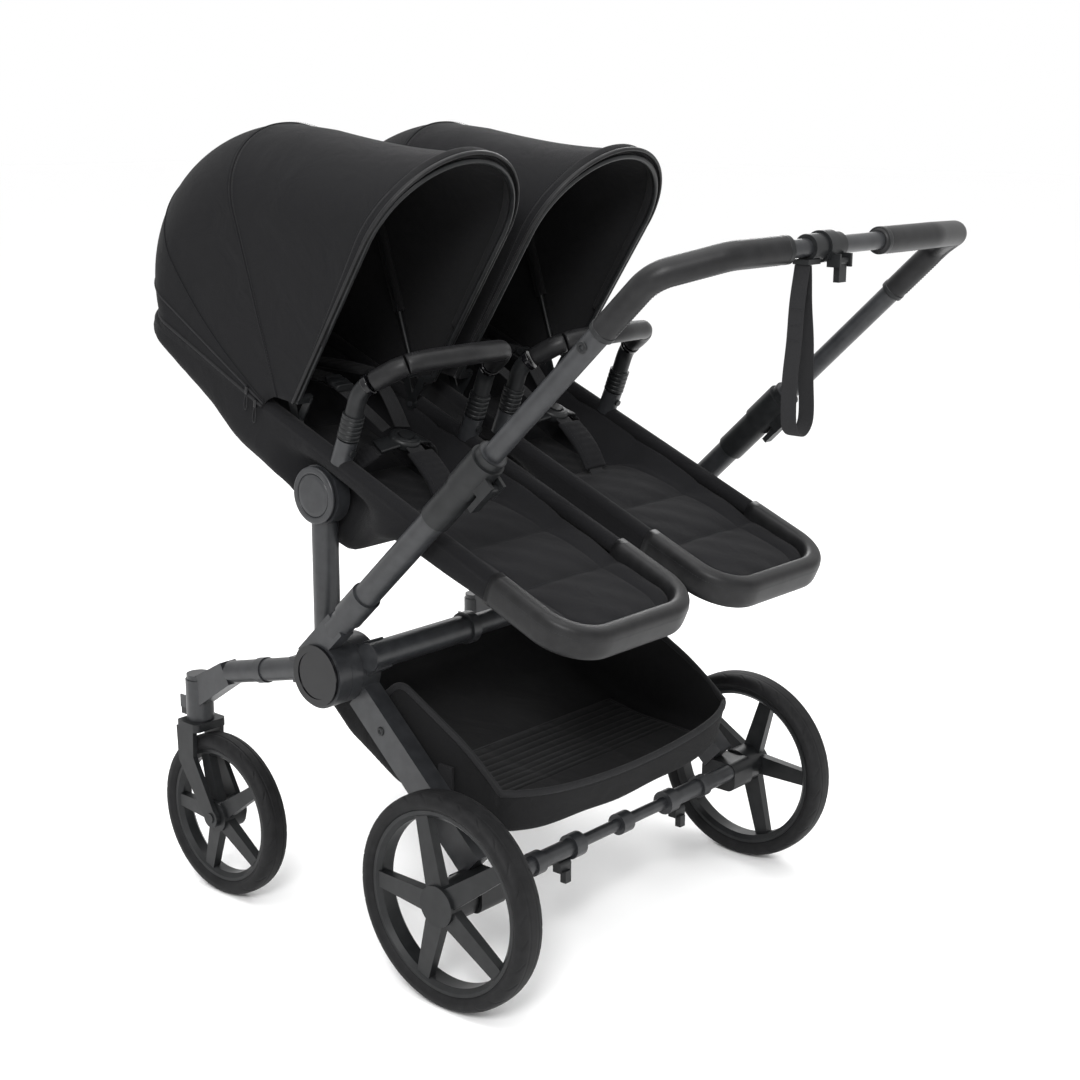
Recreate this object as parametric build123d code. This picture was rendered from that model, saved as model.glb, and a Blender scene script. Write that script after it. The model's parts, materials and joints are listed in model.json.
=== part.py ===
from build123d import *
import math
import os

os.makedirs("parts", exist_ok=True)

# A side-by-side twin stroller. +Z up, +X the stroller's left, front wheels towards -Y, handlebar towards +Y.
# Lengths are mm. Y is measured from the rear axle here and moved to the middle of the stroller on export.
centre_shift = 137.9

# Seat width and the gap between the two seats set the width of the whole frame
seat_half_w = 137.0
seat_gap = 54.0
seat_x = seat_half_w + seat_gap / 2
hub_tuck = 35.0
hub_inner_x = seat_x + seat_half_w - hub_tuck

# Wheels
rear_wheel_d = 304.8
front_wheel_d = 254.6
rear_r = rear_wheel_d / 2
front_r = front_wheel_d / 2
rear_wheel_x = hub_inner_x + 80.0
rear_tyre_w = 46.0
front_tyre_w = 40.0
tyre_depth = 23.0
rear_axle_d = 14.0
front_axle_d = 10.0
running_fit = 0.05
face_gap = 0.3
spoke_count = 5

# Fold hinge: three discs side by side on one pin
hub_y = -256.0
hub_z = 413.0
hub_r = 48.0
leg_w = 33.0
arm_w = 21.0
socket_w = 23.0
hub_pin_d = 20.0
cap_t = 5.0

# Front arms and casters
caster_x = hub_inner_x + 45.0
stem_y = -563.0
trail = 51.5
barrel_r = 21.0
barrel_z0 = 270.0
barrel_z1 = 334.0
stem_d = 16.0
arm_tube_d = 34.0

# Rear legs, rear axle bar
leg_depth = 44.0
rear_bar_y = 20.0
rear_bar_z = rear_r + 9.6
rear_bar_d = 26.0

# Main cross tube, uprights
cross_y = -200.0
cross_z = 440.0
cross_d = 40.0
cross_inner_d = 32.0
cross_sleeve_end_x = 90.0
upright_x = hub_inner_x + 23.0
upright_d = 38.0
seat_ring_d = 85.0
ring_t = 22.0
pivot_y = -296.0
pivot_z = 658.0
pivot_pin_d = 20.0

# Handle
handle_x = hub_inner_x + 64.0
handle_slope = 44.1
handle_offset = 31.0
lower_tube_d = 37.0
upper_tube_d = 28.0
lower_tube_end = 478.0
upper_tube_start = 340.0
upper_tube_end = 720.0
clamp_start = 338.0
clamp_d = 48.0
grip_d = 34.0
bar_tube_d = 22.0
bar_z = 1029.0
bar_y = 392.0

# Seats
seat_pitch = 22.5
rail_d = 20.0
rail_v = 62.0
corner_r = 62.0
seat_head_u = -440.0
seat_foot_u = 480.0
bucket_half_w = seat_half_w - 39.0
shell_t = 5.0
liner_t = 14.0

# Canopies, in the seat's own slope
canopy_u = -92.0
canopy_t = 3.0
bow_d = 8.0
bow_mid_angle = 130.5
bow_front_angle = 79.5
bow_mid_r = 431.0
bow_front_r = 447.0
canopy_back_r = canopy_u - seat_head_u + rail_d / 2 - 2.0

# Basket
basket_half_w = hub_inner_x - 4.0
basket_t = 4.0

arm_x0 = hub_inner_x + leg_w + 0.4
arm_x1 = arm_x0 + arm_w
socket_x0 = arm_x1 + 0.4
socket_x1 = socket_x0 + socket_w
slope = math.radians(handle_slope)
along = (math.cos(slope), math.sin(slope))
foot_y = hub_y - handle_offset * along[1]
foot_z = hub_z + handle_offset * along[0]
pitch = math.radians(seat_pitch)


def solid_of(shape):
    """One plain solid of a shape that holds a single one."""
    return shape.solids()[0]


def rod(p, q, r):
    """A round bar of radius r from p to q."""
    start = Vector(*p)
    run = Vector(*q) - start
    plane = Plane(origin=start, z_dir=run)
    return plane * Cylinder(r, run.length, align=(Align.CENTER, Align.CENTER, Align.MIN))


def beam(p, q, w, h0, h1=None):
    """A bar from p to q in a plane of constant X, w wide along X and h0 to h1 deep."""
    start = Vector(*p)
    run = Vector(*q) - start
    plane = Plane(origin=start, x_dir=(1, 0, 0), z_dir=run)
    far = Plane(origin=start + run, x_dir=(1, 0, 0), z_dir=run)
    first = plane * Rectangle(w, h0)
    last = far * Rectangle(w, h1 or h0)
    return loft([first, last], ruled=True)


def disc(x0, x1, y, z, r):
    """A round disc along X between x0 and x1."""
    return rod((x0, y, z), (x1, y, z), r)


def block(x0, x1, y0, y1, z0, z1):
    """A box between two corners."""
    size = (x1 - x0, y1 - y0, z1 - z0)
    return Pos((x0 + x1) / 2, (y0 + y1) / 2, (z0 + z1) / 2) * Box(*size)


def on_tube(s, x=handle_x):
    """The point at distance s up the sloping line of the handle tube."""
    return (x, foot_y + s * along[0], foot_z + s * along[1])


def seat_point(x, u, v):
    """A point in the seat's slope: u towards the feet, v square to the seat, from the tilt pivot."""
    y = pivot_y + u * math.cos(pitch) + v * math.sin(pitch)
    z = pivot_z - u * math.sin(pitch) + v * math.cos(pitch)
    return (x, y, z)


def other_side(shape):
    """The same piece on the stroller's right."""
    return mirror(shape, about=Plane.YZ)


def both(*shapes):
    """Each piece with its mirrored copy."""
    return [*shapes, *[other_side(s) for s in shapes]]


def save(name, shapes):
    """Writes one node, moved to the stroller's own origin."""
    found = [s for shape in shapes for s in shape.solids()]
    moved = [Pos(0, centre_shift, 0) * s for s in found]
    whole = moved[0] if len(moved) == 1 else Compound(children=moved)
    export_step(whole, f"parts/{name}.step")


# ---- wheels, each made about the X axis at the origin ----
def tyre(radius, width):
    """A rubber ring with a rounded tread and a shallow shoulder groove on each side."""
    inner = radius - tyre_depth
    half = width / 2
    with BuildSketch(Plane.XY) as section:
        with BuildLine():
            Polyline((-half + 6, inner), (half - 6, inner), (half, inner + 7), (half, inner + 12))
            ThreePointArc((half, inner + 12), (0, radius), (-half, inner + 12))
            Polyline((-half, inner + 12), (-half, inner + 7), (-half + 6, inner))
        make_face()
    ring = revolve(section.sketch, axis=Axis.X)
    for side in (-1, 1):
        groove = Rot(0, 90, 0) * (Cylinder(inner + 11, 2) - Cylinder(inner + 9, 2))
        ring -= Pos(side * (half - 0.5), 0, 0) * groove
    return ring


def rim(radius, width, hub_half, axle_d):
    """A rim ring, five dished spokes and a hub with its bore; the outer face towards +X."""
    outer = radius - tyre_depth
    half = width / 2 - 6
    hub_radius = 0.19 * radius
    with BuildSketch(Plane.XY) as section:
        with BuildLine():
            Polyline(
                (-half, outer), (half, outer), (half, outer - 5), (half - 6, outer - 11),
                (6 - half, outer - 11), (-half, outer - 5), (-half, outer),
            )
        make_face()
    wheel = revolve(section.sketch, axis=Axis.X)
    root = Plane(origin=(hub_half - 12, 0, hub_radius - 6), x_dir=(1, 0, 0), z_dir=(0, 0, 1))
    tip = Plane(origin=(half - 9, 0, outer - 8), x_dir=(1, 0, 0), z_dir=(0, 0, 1))
    spoke = loft([root * Rectangle(15, 0.2 * radius), tip * Rectangle(13, 0.15 * radius)], ruled=True)
    hub = disc(-hub_half, hub_half, 0, 0, hub_radius)
    wheel = wheel + hub
    for i in range(spoke_count):
        wheel += Rot(90 + 360 / spoke_count * i, 0, 0) * spoke
    return solid_of(wheel - disc(-hub_half - 1, hub_half - 4, 0, 0, axle_d / 2 + running_fit))


def wheel_nodes(kind, side, x, y, z, radius, width, hub_half, axle_d):
    """Tyre and rim of one wheel; the outer face is turned away from the stroller."""
    turn = Rot(0, 0, 0) if side == "left" else Rot(0, 0, 180)
    place = Pos(x if side == "left" else -x, y, z) * turn
    save(f"{kind}_tyre_{side}", [place * tyre(radius, width)])
    save(f"{kind}_rim_{side}", [place * rim(radius, width, hub_half, axle_d)])


rear_hub_half = 27.0
front_hub_half = front_tyre_w / 2 + 1.0
front_axle_y = stem_y + trail
for side in ("left", "right"):
    wheel_nodes("rear", side, rear_wheel_x, 0, rear_r, rear_r, rear_tyre_w, rear_hub_half, rear_axle_d)
    wheel_nodes("front", side, caster_x, front_axle_y, front_r, front_r, front_tyre_w,
                front_hub_half, front_axle_d)

# ---- casters: a fork under each stem, with the axle screwed between its blades ----
crown_z1 = barrel_z0 - face_gap
crown_z0 = barrel_z0 - 13.0
blade_t = 8.0
blade_in = front_hub_half + 1.0
fork = block(caster_x - blade_in - blade_t, caster_x + blade_in + blade_t,
             stem_y - 24, stem_y + 26, crown_z0, crown_z1)
fork = fillet(fork.edges().filter_by(Axis.Z), 9)
for blade_x in (caster_x - blade_in - blade_t / 2, caster_x + blade_in + blade_t / 2):
    bend = (blade_x, stem_y - 2, crown_z0 - 45)
    fork += beam((blade_x, stem_y - 2, crown_z0 + 4), bend, blade_t, 40, 36)
    fork += beam(bend, (blade_x, front_axle_y, front_r), blade_t, 36, 26)
    fork += disc(blade_x - blade_t / 2, blade_x + blade_t / 2, front_axle_y, front_r, 15)
    fork += disc(blade_x - blade_t / 2, blade_x + blade_t / 2, bend[1], bend[2], 18)
fork += disc(caster_x - blade_in - 1, caster_x + front_hub_half - 4.5, front_axle_y, front_r, front_axle_d / 2)
fork += disc(caster_x + blade_in + blade_t, caster_x + blade_in + blade_t + 2, front_axle_y, front_r, 8)
stem_top = barrel_z1 - 8
fork += rod((caster_x, stem_y, crown_z0 + 2), (caster_x, stem_y, stem_top), stem_d / 2)
fork = solid_of(fork)
save("caster_fork_left", [fork])
save("caster_fork_right", [other_side(fork)])

# ---- front arms: a hub disc, a sloping tube and the upright caster barrel ----
arm_mid_x = (arm_x0 + arm_x1) / 2
arm_knee = (caster_x, -318.0, 403.0)
arm_tip = (caster_x, -483.0, 361.0)
arm = disc(arm_x0, arm_x1, hub_y, hub_z, hub_r)
arm += beam((arm_mid_x, hub_y - 20, hub_z - 2), (arm_mid_x, arm_knee[1] - 20, arm_knee[2] - 5), arm_w, 38)
arm += rod(arm_knee, arm_tip, arm_tube_d / 2)
arm += rod((caster_x, -400.0, 382.0), (caster_x, -416.0, 378.0), arm_tube_d / 2 + 2)
arm += beam(arm_tip, (caster_x, stem_y, 312.0), 30, 36, 44)
arm += rod((caster_x, stem_y, barrel_z0), (caster_x, stem_y, barrel_z1), barrel_r)
arm += rod((caster_x, stem_y, barrel_z1), (caster_x, stem_y, barrel_z1 + 8), barrel_r - 2)
arm -= rod((caster_x, stem_y, barrel_z0 - 1), (caster_x, stem_y, stem_top + 1), stem_d / 2 + running_fit)
arm -= disc(arm_x0 - 1, arm_x1 + 1, hub_y, hub_z, hub_pin_d / 2 + running_fit)
lock_y = stem_y - barrel_r
arm += block(caster_x - 12, caster_x - 9.3, lock_y - 12, lock_y + 8, 284, 304)
arm += block(caster_x + 9.3, caster_x + 12, lock_y - 12, lock_y + 8, 284, 304)
save("front_arms", both(solid_of(arm)))

# Swivel-lock tabs between two ears on the front of each barrel
tab = block(caster_x - 9, caster_x + 9, lock_y - 14, lock_y - 0.5, 272, 292)
tab += disc(caster_x - 9, caster_x + 9, lock_y - 6, 294, 5)
tab = solid_of(tab)
save("swivel_lock_tabs", both(tab))

# ---- chassis: hub discs with the pins, rear legs, carriers and axles ----
leg_mid_x = hub_inner_x + leg_w / 2
leg_end = (leg_mid_x, -8.0, rear_bar_z + 18.0)
hub = disc(hub_inner_x, hub_inner_x + leg_w, hub_y, hub_z, hub_r)
hub += disc(hub_inner_x, socket_x1 - 6, hub_y, hub_z, hub_pin_d / 2)
hub += beam((hub_inner_x + 14, hub_y + 10, hub_z + 5), (hub_inner_x + 14, cross_y + 6, cross_z + 3), 28, 52, 44)
hub -= disc(0, hub_inner_x + leg_w + 1, cross_y, cross_z, cross_d / 2)
save("fold_hubs", both(solid_of(hub)))

leg_root = hub_r - 2.7
leg_start = (leg_mid_x, hub_y + 0.66 * leg_root, hub_z - 0.75 * leg_root)
leg = beam(leg_start, leg_end, leg_w - 3, leg_depth)
leg -= disc(hub_inner_x - 1, hub_inner_x + leg_w + 1, hub_y, hub_z, hub_r)
save("rear_legs", both(solid_of(leg)))

carrier_x1 = rear_wheel_x - rear_hub_half - face_gap
carrier = block(hub_inner_x + 4, carrier_x1, -30, 34, rear_r - 22, rear_r + 24)
carrier = fillet(carrier.edges().filter_by(Axis.X), 14)
carrier += disc(carrier_x1 - 2, rear_wheel_x + rear_hub_half - 6, 0, rear_r, rear_axle_d / 2)
carrier -= beam(leg_start, leg_end, leg_w - 3, leg_depth)
carrier -= disc(hub_inner_x - 30, hub_inner_x + 30, rear_bar_y, rear_bar_z, rear_bar_d / 2)
save("rear_axle_carriers", both(solid_of(carrier)))

sleeve = disc(100, hub_inner_x + 30, rear_bar_y, rear_bar_z, rear_bar_d / 2)
sleeve += disc(100, 122, rear_bar_y, rear_bar_z, rear_bar_d / 2 + 5)
sleeve += disc(186, 204, rear_bar_y, rear_bar_z, rear_bar_d / 2 + 4)
sleeve -= disc(99, 190, rear_bar_y, rear_bar_z, rear_bar_d / 2 - 4)
save("rear_bar_sleeves", both(solid_of(sleeve)))
inner_bar = disc(-150, 150, rear_bar_y, rear_bar_z, rear_bar_d / 2 - 4)
inner_bar += disc(-12, 12, rear_bar_y, rear_bar_z, rear_bar_d / 2 + 3)
save("rear_bar_inner", [inner_bar])

# Width-lock levers, hooked under the collars of the rear bar
lever_z = rear_bar_z - rear_bar_d / 2 - face_gap - 7.3
lever = block(124, 148, rear_bar_y - 7, rear_bar_y + 7, lever_z - 10, lever_z)
lever += block(130, 142, rear_bar_y + 2, rear_bar_y + 12, rear_bar_z - 46, rear_bar_z - 28)
lever += disc(124, 148, rear_bar_y, lever_z, 7.3)
save("width_lock_levers", both(solid_of(lever)))

# Main cross tube
cross_sleeve = disc(cross_sleeve_end_x, hub_inner_x + leg_w, cross_y, cross_z, cross_d / 2)
cross_sleeve += disc(cross_sleeve_end_x, cross_sleeve_end_x + 16, cross_y, cross_z, cross_d / 2 + 4)
cross_sleeve -= disc(cross_sleeve_end_x - 1, 180, cross_y, cross_z, cross_inner_d / 2)
save("main_cross_sleeves", both(solid_of(cross_sleeve)))
save("main_cross_inner", [disc(-150, 150, cross_y, cross_z, cross_inner_d / 2)])

# Uprights, with the ring that carries each seat's tilt pin
ring_x0 = upright_x - ring_t / 2 - 2
ring_x1 = ring_x0 + ring_t
upright = rod((upright_x - 3, pivot_y, hub_z + 20), (upright_x - 3, pivot_y, pivot_z - 20), upright_d / 2)
upright -= disc(hub_inner_x - 10, ring_x1 + 20, hub_y, hub_z, hub_r)
upright -= disc(hub_inner_x - 30, ring_x0, pivot_y, pivot_z, seat_ring_d / 2 - 1)
upright += disc(ring_x0, ring_x1, pivot_y, pivot_z, seat_ring_d / 2)
upright += disc(ring_x1 - 1, ring_x1 + 3, pivot_y, pivot_z, seat_ring_d / 2 - 10)
pin_end = seat_x + bucket_half_w + 0.5
upright += disc(pin_end, ring_x0 + 1, pivot_y, pivot_z, pivot_pin_d / 2)
save("seat_uprights", both(solid_of(upright)))

# Middle post between the seats
inner_ring_x1 = 2 * seat_x - ring_x0
post = rod((0, cross_y - 8, cross_z + cross_inner_d / 2 + 4), (0, pivot_y, pivot_z - 10), 15)
post += disc(-inner_ring_x1, inner_ring_x1, pivot_y, pivot_z, 28)
inner_pin_end = 2 * seat_x - pin_end
post += disc(-inner_pin_end, inner_pin_end, pivot_y, pivot_z, pivot_pin_d / 2)
post += disc(-24, 24, cross_y, cross_z, cross_inner_d / 2 + 5)
post -= disc(-25, 25, cross_y, cross_z, cross_inner_d / 2)
save("middle_post", [solid_of(post)])

# ---- handle: hub disc, socket and lower tube; clamps; sliding upper part ----
lower = disc(socket_x0, socket_x1, hub_y, hub_z, hub_r)
socket_mid_x = (socket_x0 + socket_x1) / 2
lower += beam(on_tube(-6, socket_mid_x), on_tube(84, socket_mid_x), socket_w, lower_tube_d)
lower += rod(on_tube(68), on_tube(lower_tube_end), lower_tube_d / 2)
lower += rod(on_tube(104), on_tube(154), lower_tube_d / 2 + 3)
lower -= rod(on_tube(upper_tube_start - 160), on_tube(lower_tube_end + 1), upper_tube_d / 2 + running_fit)
lower -= disc(socket_x0 - 1, socket_x1 - 5, hub_y, hub_z, hub_pin_d / 2 + running_fit)
save("handle_sockets", both(solid_of(lower)))

cap = disc(socket_x1, socket_x1 + cap_t, hub_y, hub_z, hub_r - 4)
cap -= disc(socket_x1 + cap_t - 1.5, socket_x1 + cap_t + 1, hub_y, hub_z, hub_r - 14)
save("hub_caps", both(solid_of(cap)))


def off_tube(s, down, x):
    """The point at distance s up the handle tube, set off square to it on the lower side."""
    return (x, foot_y + s * along[0] + down * along[1], foot_z + s * along[1] - down * along[0])


clamp = rod(on_tube(clamp_start), on_tube(clamp_start + 70), lower_tube_d / 2 + 3)
clamp += rod(on_tube(clamp_start + 70), on_tube(clamp_start + 128), clamp_d / 2)
clamp += rod(on_tube(clamp_start + 128), on_tube(lower_tube_end), lower_tube_d / 2 + 2)
for ear_x in (handle_x - 11, handle_x + 11):
    clamp += beam(off_tube(clamp_start + 90, 27, ear_x), off_tube(clamp_start + 118, 27, ear_x), 5, 20)
clamp -= rod(on_tube(clamp_start - 1), on_tube(lower_tube_end + 1), lower_tube_d / 2)
save("height_clamps", both(solid_of(clamp)))

lever_pivot_s = clamp_start + 106.0
lever_w = 16.4
height_lever = beam(off_tube(clamp_start + 62, 31, handle_x), off_tube(lever_pivot_s, 30, handle_x), lever_w, 8, 9)
height_lever += rod(off_tube(lever_pivot_s, 31, handle_x - lever_w / 2),
                    off_tube(lever_pivot_s, 31, handle_x + lever_w / 2), 5)
save("height_levers", both(solid_of(height_lever)))

tube = rod(on_tube(upper_tube_start), on_tube(upper_tube_end), upper_tube_d / 2)
save("handle_upper_tubes", both(tube))

bar_route = [on_tube(712), (handle_x, foot_y + 815 * along[0], foot_z + 815 * along[1]),
             (handle_x - 68, bar_y - 26, bar_z - 4), (150.0, bar_y, bar_z)]
whole_route = bar_route + [(-x, y, z) for x, y, z in reversed(bar_route)]
bar_path = FilletPolyline(*whole_route, radius=[44, 40, 110, 110, 40, 44])
start_plane = Plane(origin=bar_path @ 0, z_dir=bar_path % 0)
bar = solid_of(sweep(start_plane * Circle(bar_tube_d / 2), path=bar_path))
cover = solid_of(sweep(start_plane * Circle(grip_d / 2), path=bar_path))
near_end = 173.0
far_end = -14.0
cover -= bar
for end_tube in both(tube):
    cover -= end_tube
    bar -= end_tube
save("handle_bar", [bar])
near_grip = solid_of(cover & block(near_end, 400, 0, 500, 800, 1200))
far_grip = solid_of(cover & block(-400, far_end, 0, 500, 800, 1200))
save("handle_grips", [near_grip, far_grip])

bracket_x0 = 78.0
bracket_x1 = 146.0
bracket = disc(bracket_x0, bracket_x1, bar_y, bar_z, 16) + disc(96, 118, bar_y, bar_z, 19)
bracket += block(130, 156, bar_y - 11, bar_y + 11, bar_z - 19, bar_z - 13)
bracket += block(84, 87.7, bar_y + 8, bar_y + 26, bar_z - 24, bar_z - 8)
bracket += block(108.3, 112, bar_y + 8, bar_y + 26, bar_z - 24, bar_z - 8)
bracket -= bar
save("brake_bracket", [solid_of(bracket)])
brake = disc(88, 108, bar_y + 20, bar_z - 17, 4)
brake += block(90, 106, bar_y + 14, bar_y + 22, bar_z - 42, bar_z - 17)
save("brake_lever", [solid_of(brake)])

strap_w = 22.0
with BuildSketch(Plane.XZ.offset(-bar_y + strap_w / 2 - strap_w)) as strap_side:
    with BuildLine():
        Line((154, bar_z - 19.3), (172, 830))
        ThreePointArc((172, 830), (151, 806), (130, 830))
        Line((130, 830), (148, bar_z - 19.3))
        Line((148, bar_z - 19.3), (154, bar_z - 19.3))
    make_face()
strap = extrude(strap_side.sketch, amount=strap_w)
strap -= Pos(0, 0, 0) * extrude(offset(strap_side.sketch, -2.2), amount=strap_w)
save("wrist_strap", [solid_of(strap)])

# ---- shopping basket between the rear legs: a thin shell open at the top ----
basket_side = [(-330, 392), (-342, 336), (-292, 290), (-189, 240), (-120, 228), (32, 222), (46, 284),
               (-66, 344), (-176, 404)]


def side_solid(points, x0, x1):
    """A flat outline in Y and Z pushed out along X from x0 to x1."""
    with BuildSketch(Plane.YZ.offset(x0)) as outline:
        with BuildLine():
            Polyline(*points, close=True)
        make_face()
    return extrude(outline.sketch, amount=x1 - x0)


inner_side = [(-330 + basket_t, 440), (-342 + basket_t, 338), (-290, 290 + basket_t), (-188, 240 + basket_t),
              (-120, 228 + basket_t), (32 - basket_t, 222 + basket_t), (46 - basket_t, 284), (44, 320), (-176, 440)]
basket = side_solid(basket_side, -basket_half_w, basket_half_w)
basket -= side_solid(inner_side, basket_t - basket_half_w, basket_half_w - basket_t)
basket -= disc(-290, 290, hub_y, hub_z, hub_r + 3)
basket -= disc(-290, 290, cross_y, cross_z, cross_d / 2 + 8)
save("shopping_basket", [solid_of(basket)])
strap_band = block(basket_half_w + face_gap, hub_inner_x + 1.2, -96, -70, 262, 300)
save("basket_straps", both(strap_band))


# ---- seats, drawn about their own slope ----
def seat_plane(x):
    """A plane across X whose first axis runs to the feet and second square to the seat."""
    u_dir = (0, math.cos(pitch), -math.sin(pitch))
    return Plane(origin=(x, pivot_y, pivot_z), x_dir=u_dir, z_dir=(1, 0, 0))


def seat_solid(points, half_w):
    """An outline in u and v pushed out across the left seat, half_w to each side."""
    with BuildSketch(seat_plane(seat_x - half_w)) as outline:
        with BuildLine():
            Polyline(*points, close=True)
        make_face()
    return extrude(outline.sketch, amount=2 * half_w)


def seat_rod(a, b, r):
    """A round bar between two points given as x from the seat's middle, u and v."""
    return rod(seat_point(seat_x + a[0], a[1], a[2]), seat_point(seat_x + b[0], b[1], b[2]), r)


def seat_block(x0, x1, u0, u1, v0, v1):
    """A box in the seat's slope."""
    points = [(u0, v0), (u1, v0), (u1, v1), (u0, v1)]
    with BuildSketch(seat_plane(seat_x + x0)) as outline:
        with BuildLine():
            Polyline(*points, close=True)
        make_face()
    return extrude(outline.sketch, amount=x1 - x0)


def across(piece):
    """A seat piece with its copy on the other side of the same seat."""
    return [piece, Pos(2 * seat_x, 0, 0) * mirror(piece, about=Plane.YZ)]


rail_x = seat_half_w - rail_d / 2
hub_x0 = ring_x0 - seat_x - 0.3
socket_u = 19.0
socket_v = 100.0
flat = Plane(origin=seat_point(seat_x, 0, rail_v), x_dir=(1, 0, 0), z_dir=(0, math.sin(pitch), math.cos(pitch)))
loop_corners = [(-rail_x, seat_head_u), (rail_x, seat_head_u), (rail_x, seat_foot_u), (-rail_x, seat_foot_u)]
with BuildLine(flat) as loop:
    FilletPolyline(*loop_corners, radius=corner_r, close=True)
loop_wire = loop.wires()[0]
rail = sweep(Plane(origin=loop_wire @ 0, z_dir=loop_wire % 0) * Circle(rail_d / 2), path=loop_wire)
frame = rail
for hand in (-1, 1):
    bearing = seat_rod((hand * bucket_half_w + hand * 0.4, 0, 0), (hand * hub_x0, 0, 0), 38)
    plate = seat_block(min(hand * (bucket_half_w + 0.4), hand * hub_x0), max(hand * (bucket_half_w + 0.4), hand * hub_x0),
                       -26, 26, 10, rail_v)
    frame += bearing + plate
    frame += seat_rod((hand * rail_x, socket_u, rail_v), (hand * rail_x, socket_u, socket_v), 15)
    frame += seat_rod((hand * (rail_x - 5), canopy_u, rail_v), (hand * (rail_x - 18), canopy_u, rail_v), 4)
for hand in (-1, 1):
    frame -= seat_rod((hand * (bucket_half_w - 2), 0, 0), (hand * (hub_x0 + 1), 0, 0), pivot_pin_d / 2 + running_fit)
    frame -= seat_rod((hand * rail_x, socket_u, socket_v - 22), (hand * rail_x, socket_u, socket_v + 1), 8 + running_fit)
    frame -= seat_rod((hand * rail_x, socket_u + 9.5, 86), (hand * rail_x, socket_u + 20, 86), 5 + running_fit)
frame = solid_of(frame)
button = across(solid_of(seat_rod((rail_x, socket_u + 11.5, 86), (rail_x, socket_u + 18, 86), 5)))

wall_top = rail_v - rail_d / 2 - face_gap


def plan_prism(inset):
    """A tall prism over the seat's plan, with rounded corners, set in from the rail's outside."""
    out = rail_d / 2 - inset
    length = seat_foot_u - seat_head_u + 2 * out
    middle = (seat_foot_u + seat_head_u) / 2
    plan = RectangleRounded(2 * (rail_x + out), length, corner_r + out)
    return flat.offset(-200) * (Pos(0, middle, 0) * extrude(plan, amount=300))


head_line = [(-448, 42), (-301, 13), (-192, -20), (-114, -28), (-62, -10)]
leg_line = [(96, -10), (155, 16), (287, 26), (488, 36)]
bucket_line = [(-62, -40), (-30, -84), (50, -84), (96, -30)]


def tray(line, half_w):
    """The outer body of one stretch of the seat shell, up to the rails."""
    return seat_solid([*line, (line[-1][0], wall_top), (line[0][0], wall_top)], half_w)


def hollow(line, half_w, first, last):
    """What is taken out of one stretch of the shell; first and last pull in its two ends."""
    raised = [(u, v + shell_t) for u, v in line]
    raised[0] = (raised[0][0] + first, raised[0][1])
    raised[-1] = (raised[-1][0] - last, raised[-1][1])
    return seat_solid([*raised, (raised[-1][0], wall_top + 1), (raised[0][0], wall_top + 1)], half_w - shell_t)


bucket_ends = [(bucket_line[0][0] - 0.01, -12), *bucket_line, (bucket_line[-1][0] + 0.01, -12)]
shell = tray(head_line, seat_half_w) + tray(leg_line, seat_half_w) + tray(bucket_ends, bucket_half_w)
shell = shell & plan_prism(0)
shell -= hollow(head_line, seat_half_w, shell_t, shell_t) & plan_prism(shell_t)
shell -= hollow(leg_line, seat_half_w, shell_t, shell_t) & plan_prism(shell_t)
shell -= hollow(bucket_line, bucket_half_w, 0, 0)
shell -= seat_block(shell_t - bucket_half_w, bucket_half_w - shell_t, -70, 104, -4, wall_top + 1)
shell = solid_of(shell)

liner_line = [(-426, 46), (-301, 19), (-192, -13), (-114, -18), (-70, -1), (-52, -6), (-40, -24), (56, -24), (98, 2),
              (155, 22), (287, 32), (466, 41)]
liner_half_w = rail_x - rail_d / 2 - 1.0
raised_line = [(u, v + liner_t) for u, v in reversed(liner_line)]
liner = seat_solid(liner_line + raised_line, liner_half_w)
for hand in (-1, 1):
    low = bucket_half_w - shell_t - 1.0
    x0, x1 = sorted((hand * low, hand * (liner_half_w + 1)))
    liner -= seat_block(x0, x1, -70, 104, -60, 60)
liner = solid_of(liner & plan_prism(rail_d + 1.0))

# Harness: shoulder straps, waist straps and crotch strap that meet at the buckle
buckle_u = 10.0
buckle_v = 74.0
web_t = 3.0


def webbing(points, w):
    """A flat strap through points given as x, u and v, its flat side up."""
    pieces = []
    for a, b in zip(points, points[1:]):
        start = Vector(*seat_point(seat_x + a[0], a[1], a[2]))
        run = Vector(*seat_point(seat_x + b[0], b[1], b[2])) - start
        side = run.cross(Vector(0, math.sin(pitch), math.cos(pitch)))
        plane = Plane(origin=start, x_dir=side, z_dir=run)
        pieces.append(plane * Box(w, web_t, run.length, align=(Align.CENTER, Align.CENTER, Align.MIN)))
    whole = pieces[0]
    for piece in pieces[1:]:
        whole += piece
    return whole


buckle = seat_rod((0, buckle_u, buckle_v - 8), (0, buckle_u, buckle_v + 8), 24)
buckle -= seat_rod((0, buckle_u, buckle_v + 3), (0, buckle_u, buckle_v + 9), 11 + running_fit)
harness = [solid_of(buckle)]
for hand in (-1, 1):
    shoulder = webbing([(hand * 44, -300, 34.6), (hand * 42, -110, 108), (hand * 14, buckle_u - 17, buckle_v + 4)], 25)
    waist = webbing([(hand * 88, -8, 4), (hand * 60, 0, 50), (hand * 20, buckle_u, buckle_v - 2)], 25)
    adjuster = seat_block(hand * 42 - 17, hand * 42 + 17, -118, -88, 104, 116)
    harness.append(solid_of(shoulder + waist + adjuster))
crotch = webbing([(0, 128, 26), (0, 78, 60), (0, buckle_u + 20, buckle_v)], 30)
crotch += seat_block(-19, 19, 76, 104, 46, 60)
harness.append(solid_of(crotch))
harness = [part - liner - harness[0] if i else part for i, part in enumerate(harness)]
release = solid_of(seat_rod((0, buckle_u, buckle_v + 5.5), (0, buckle_u, buckle_v + 10), 11))

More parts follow.
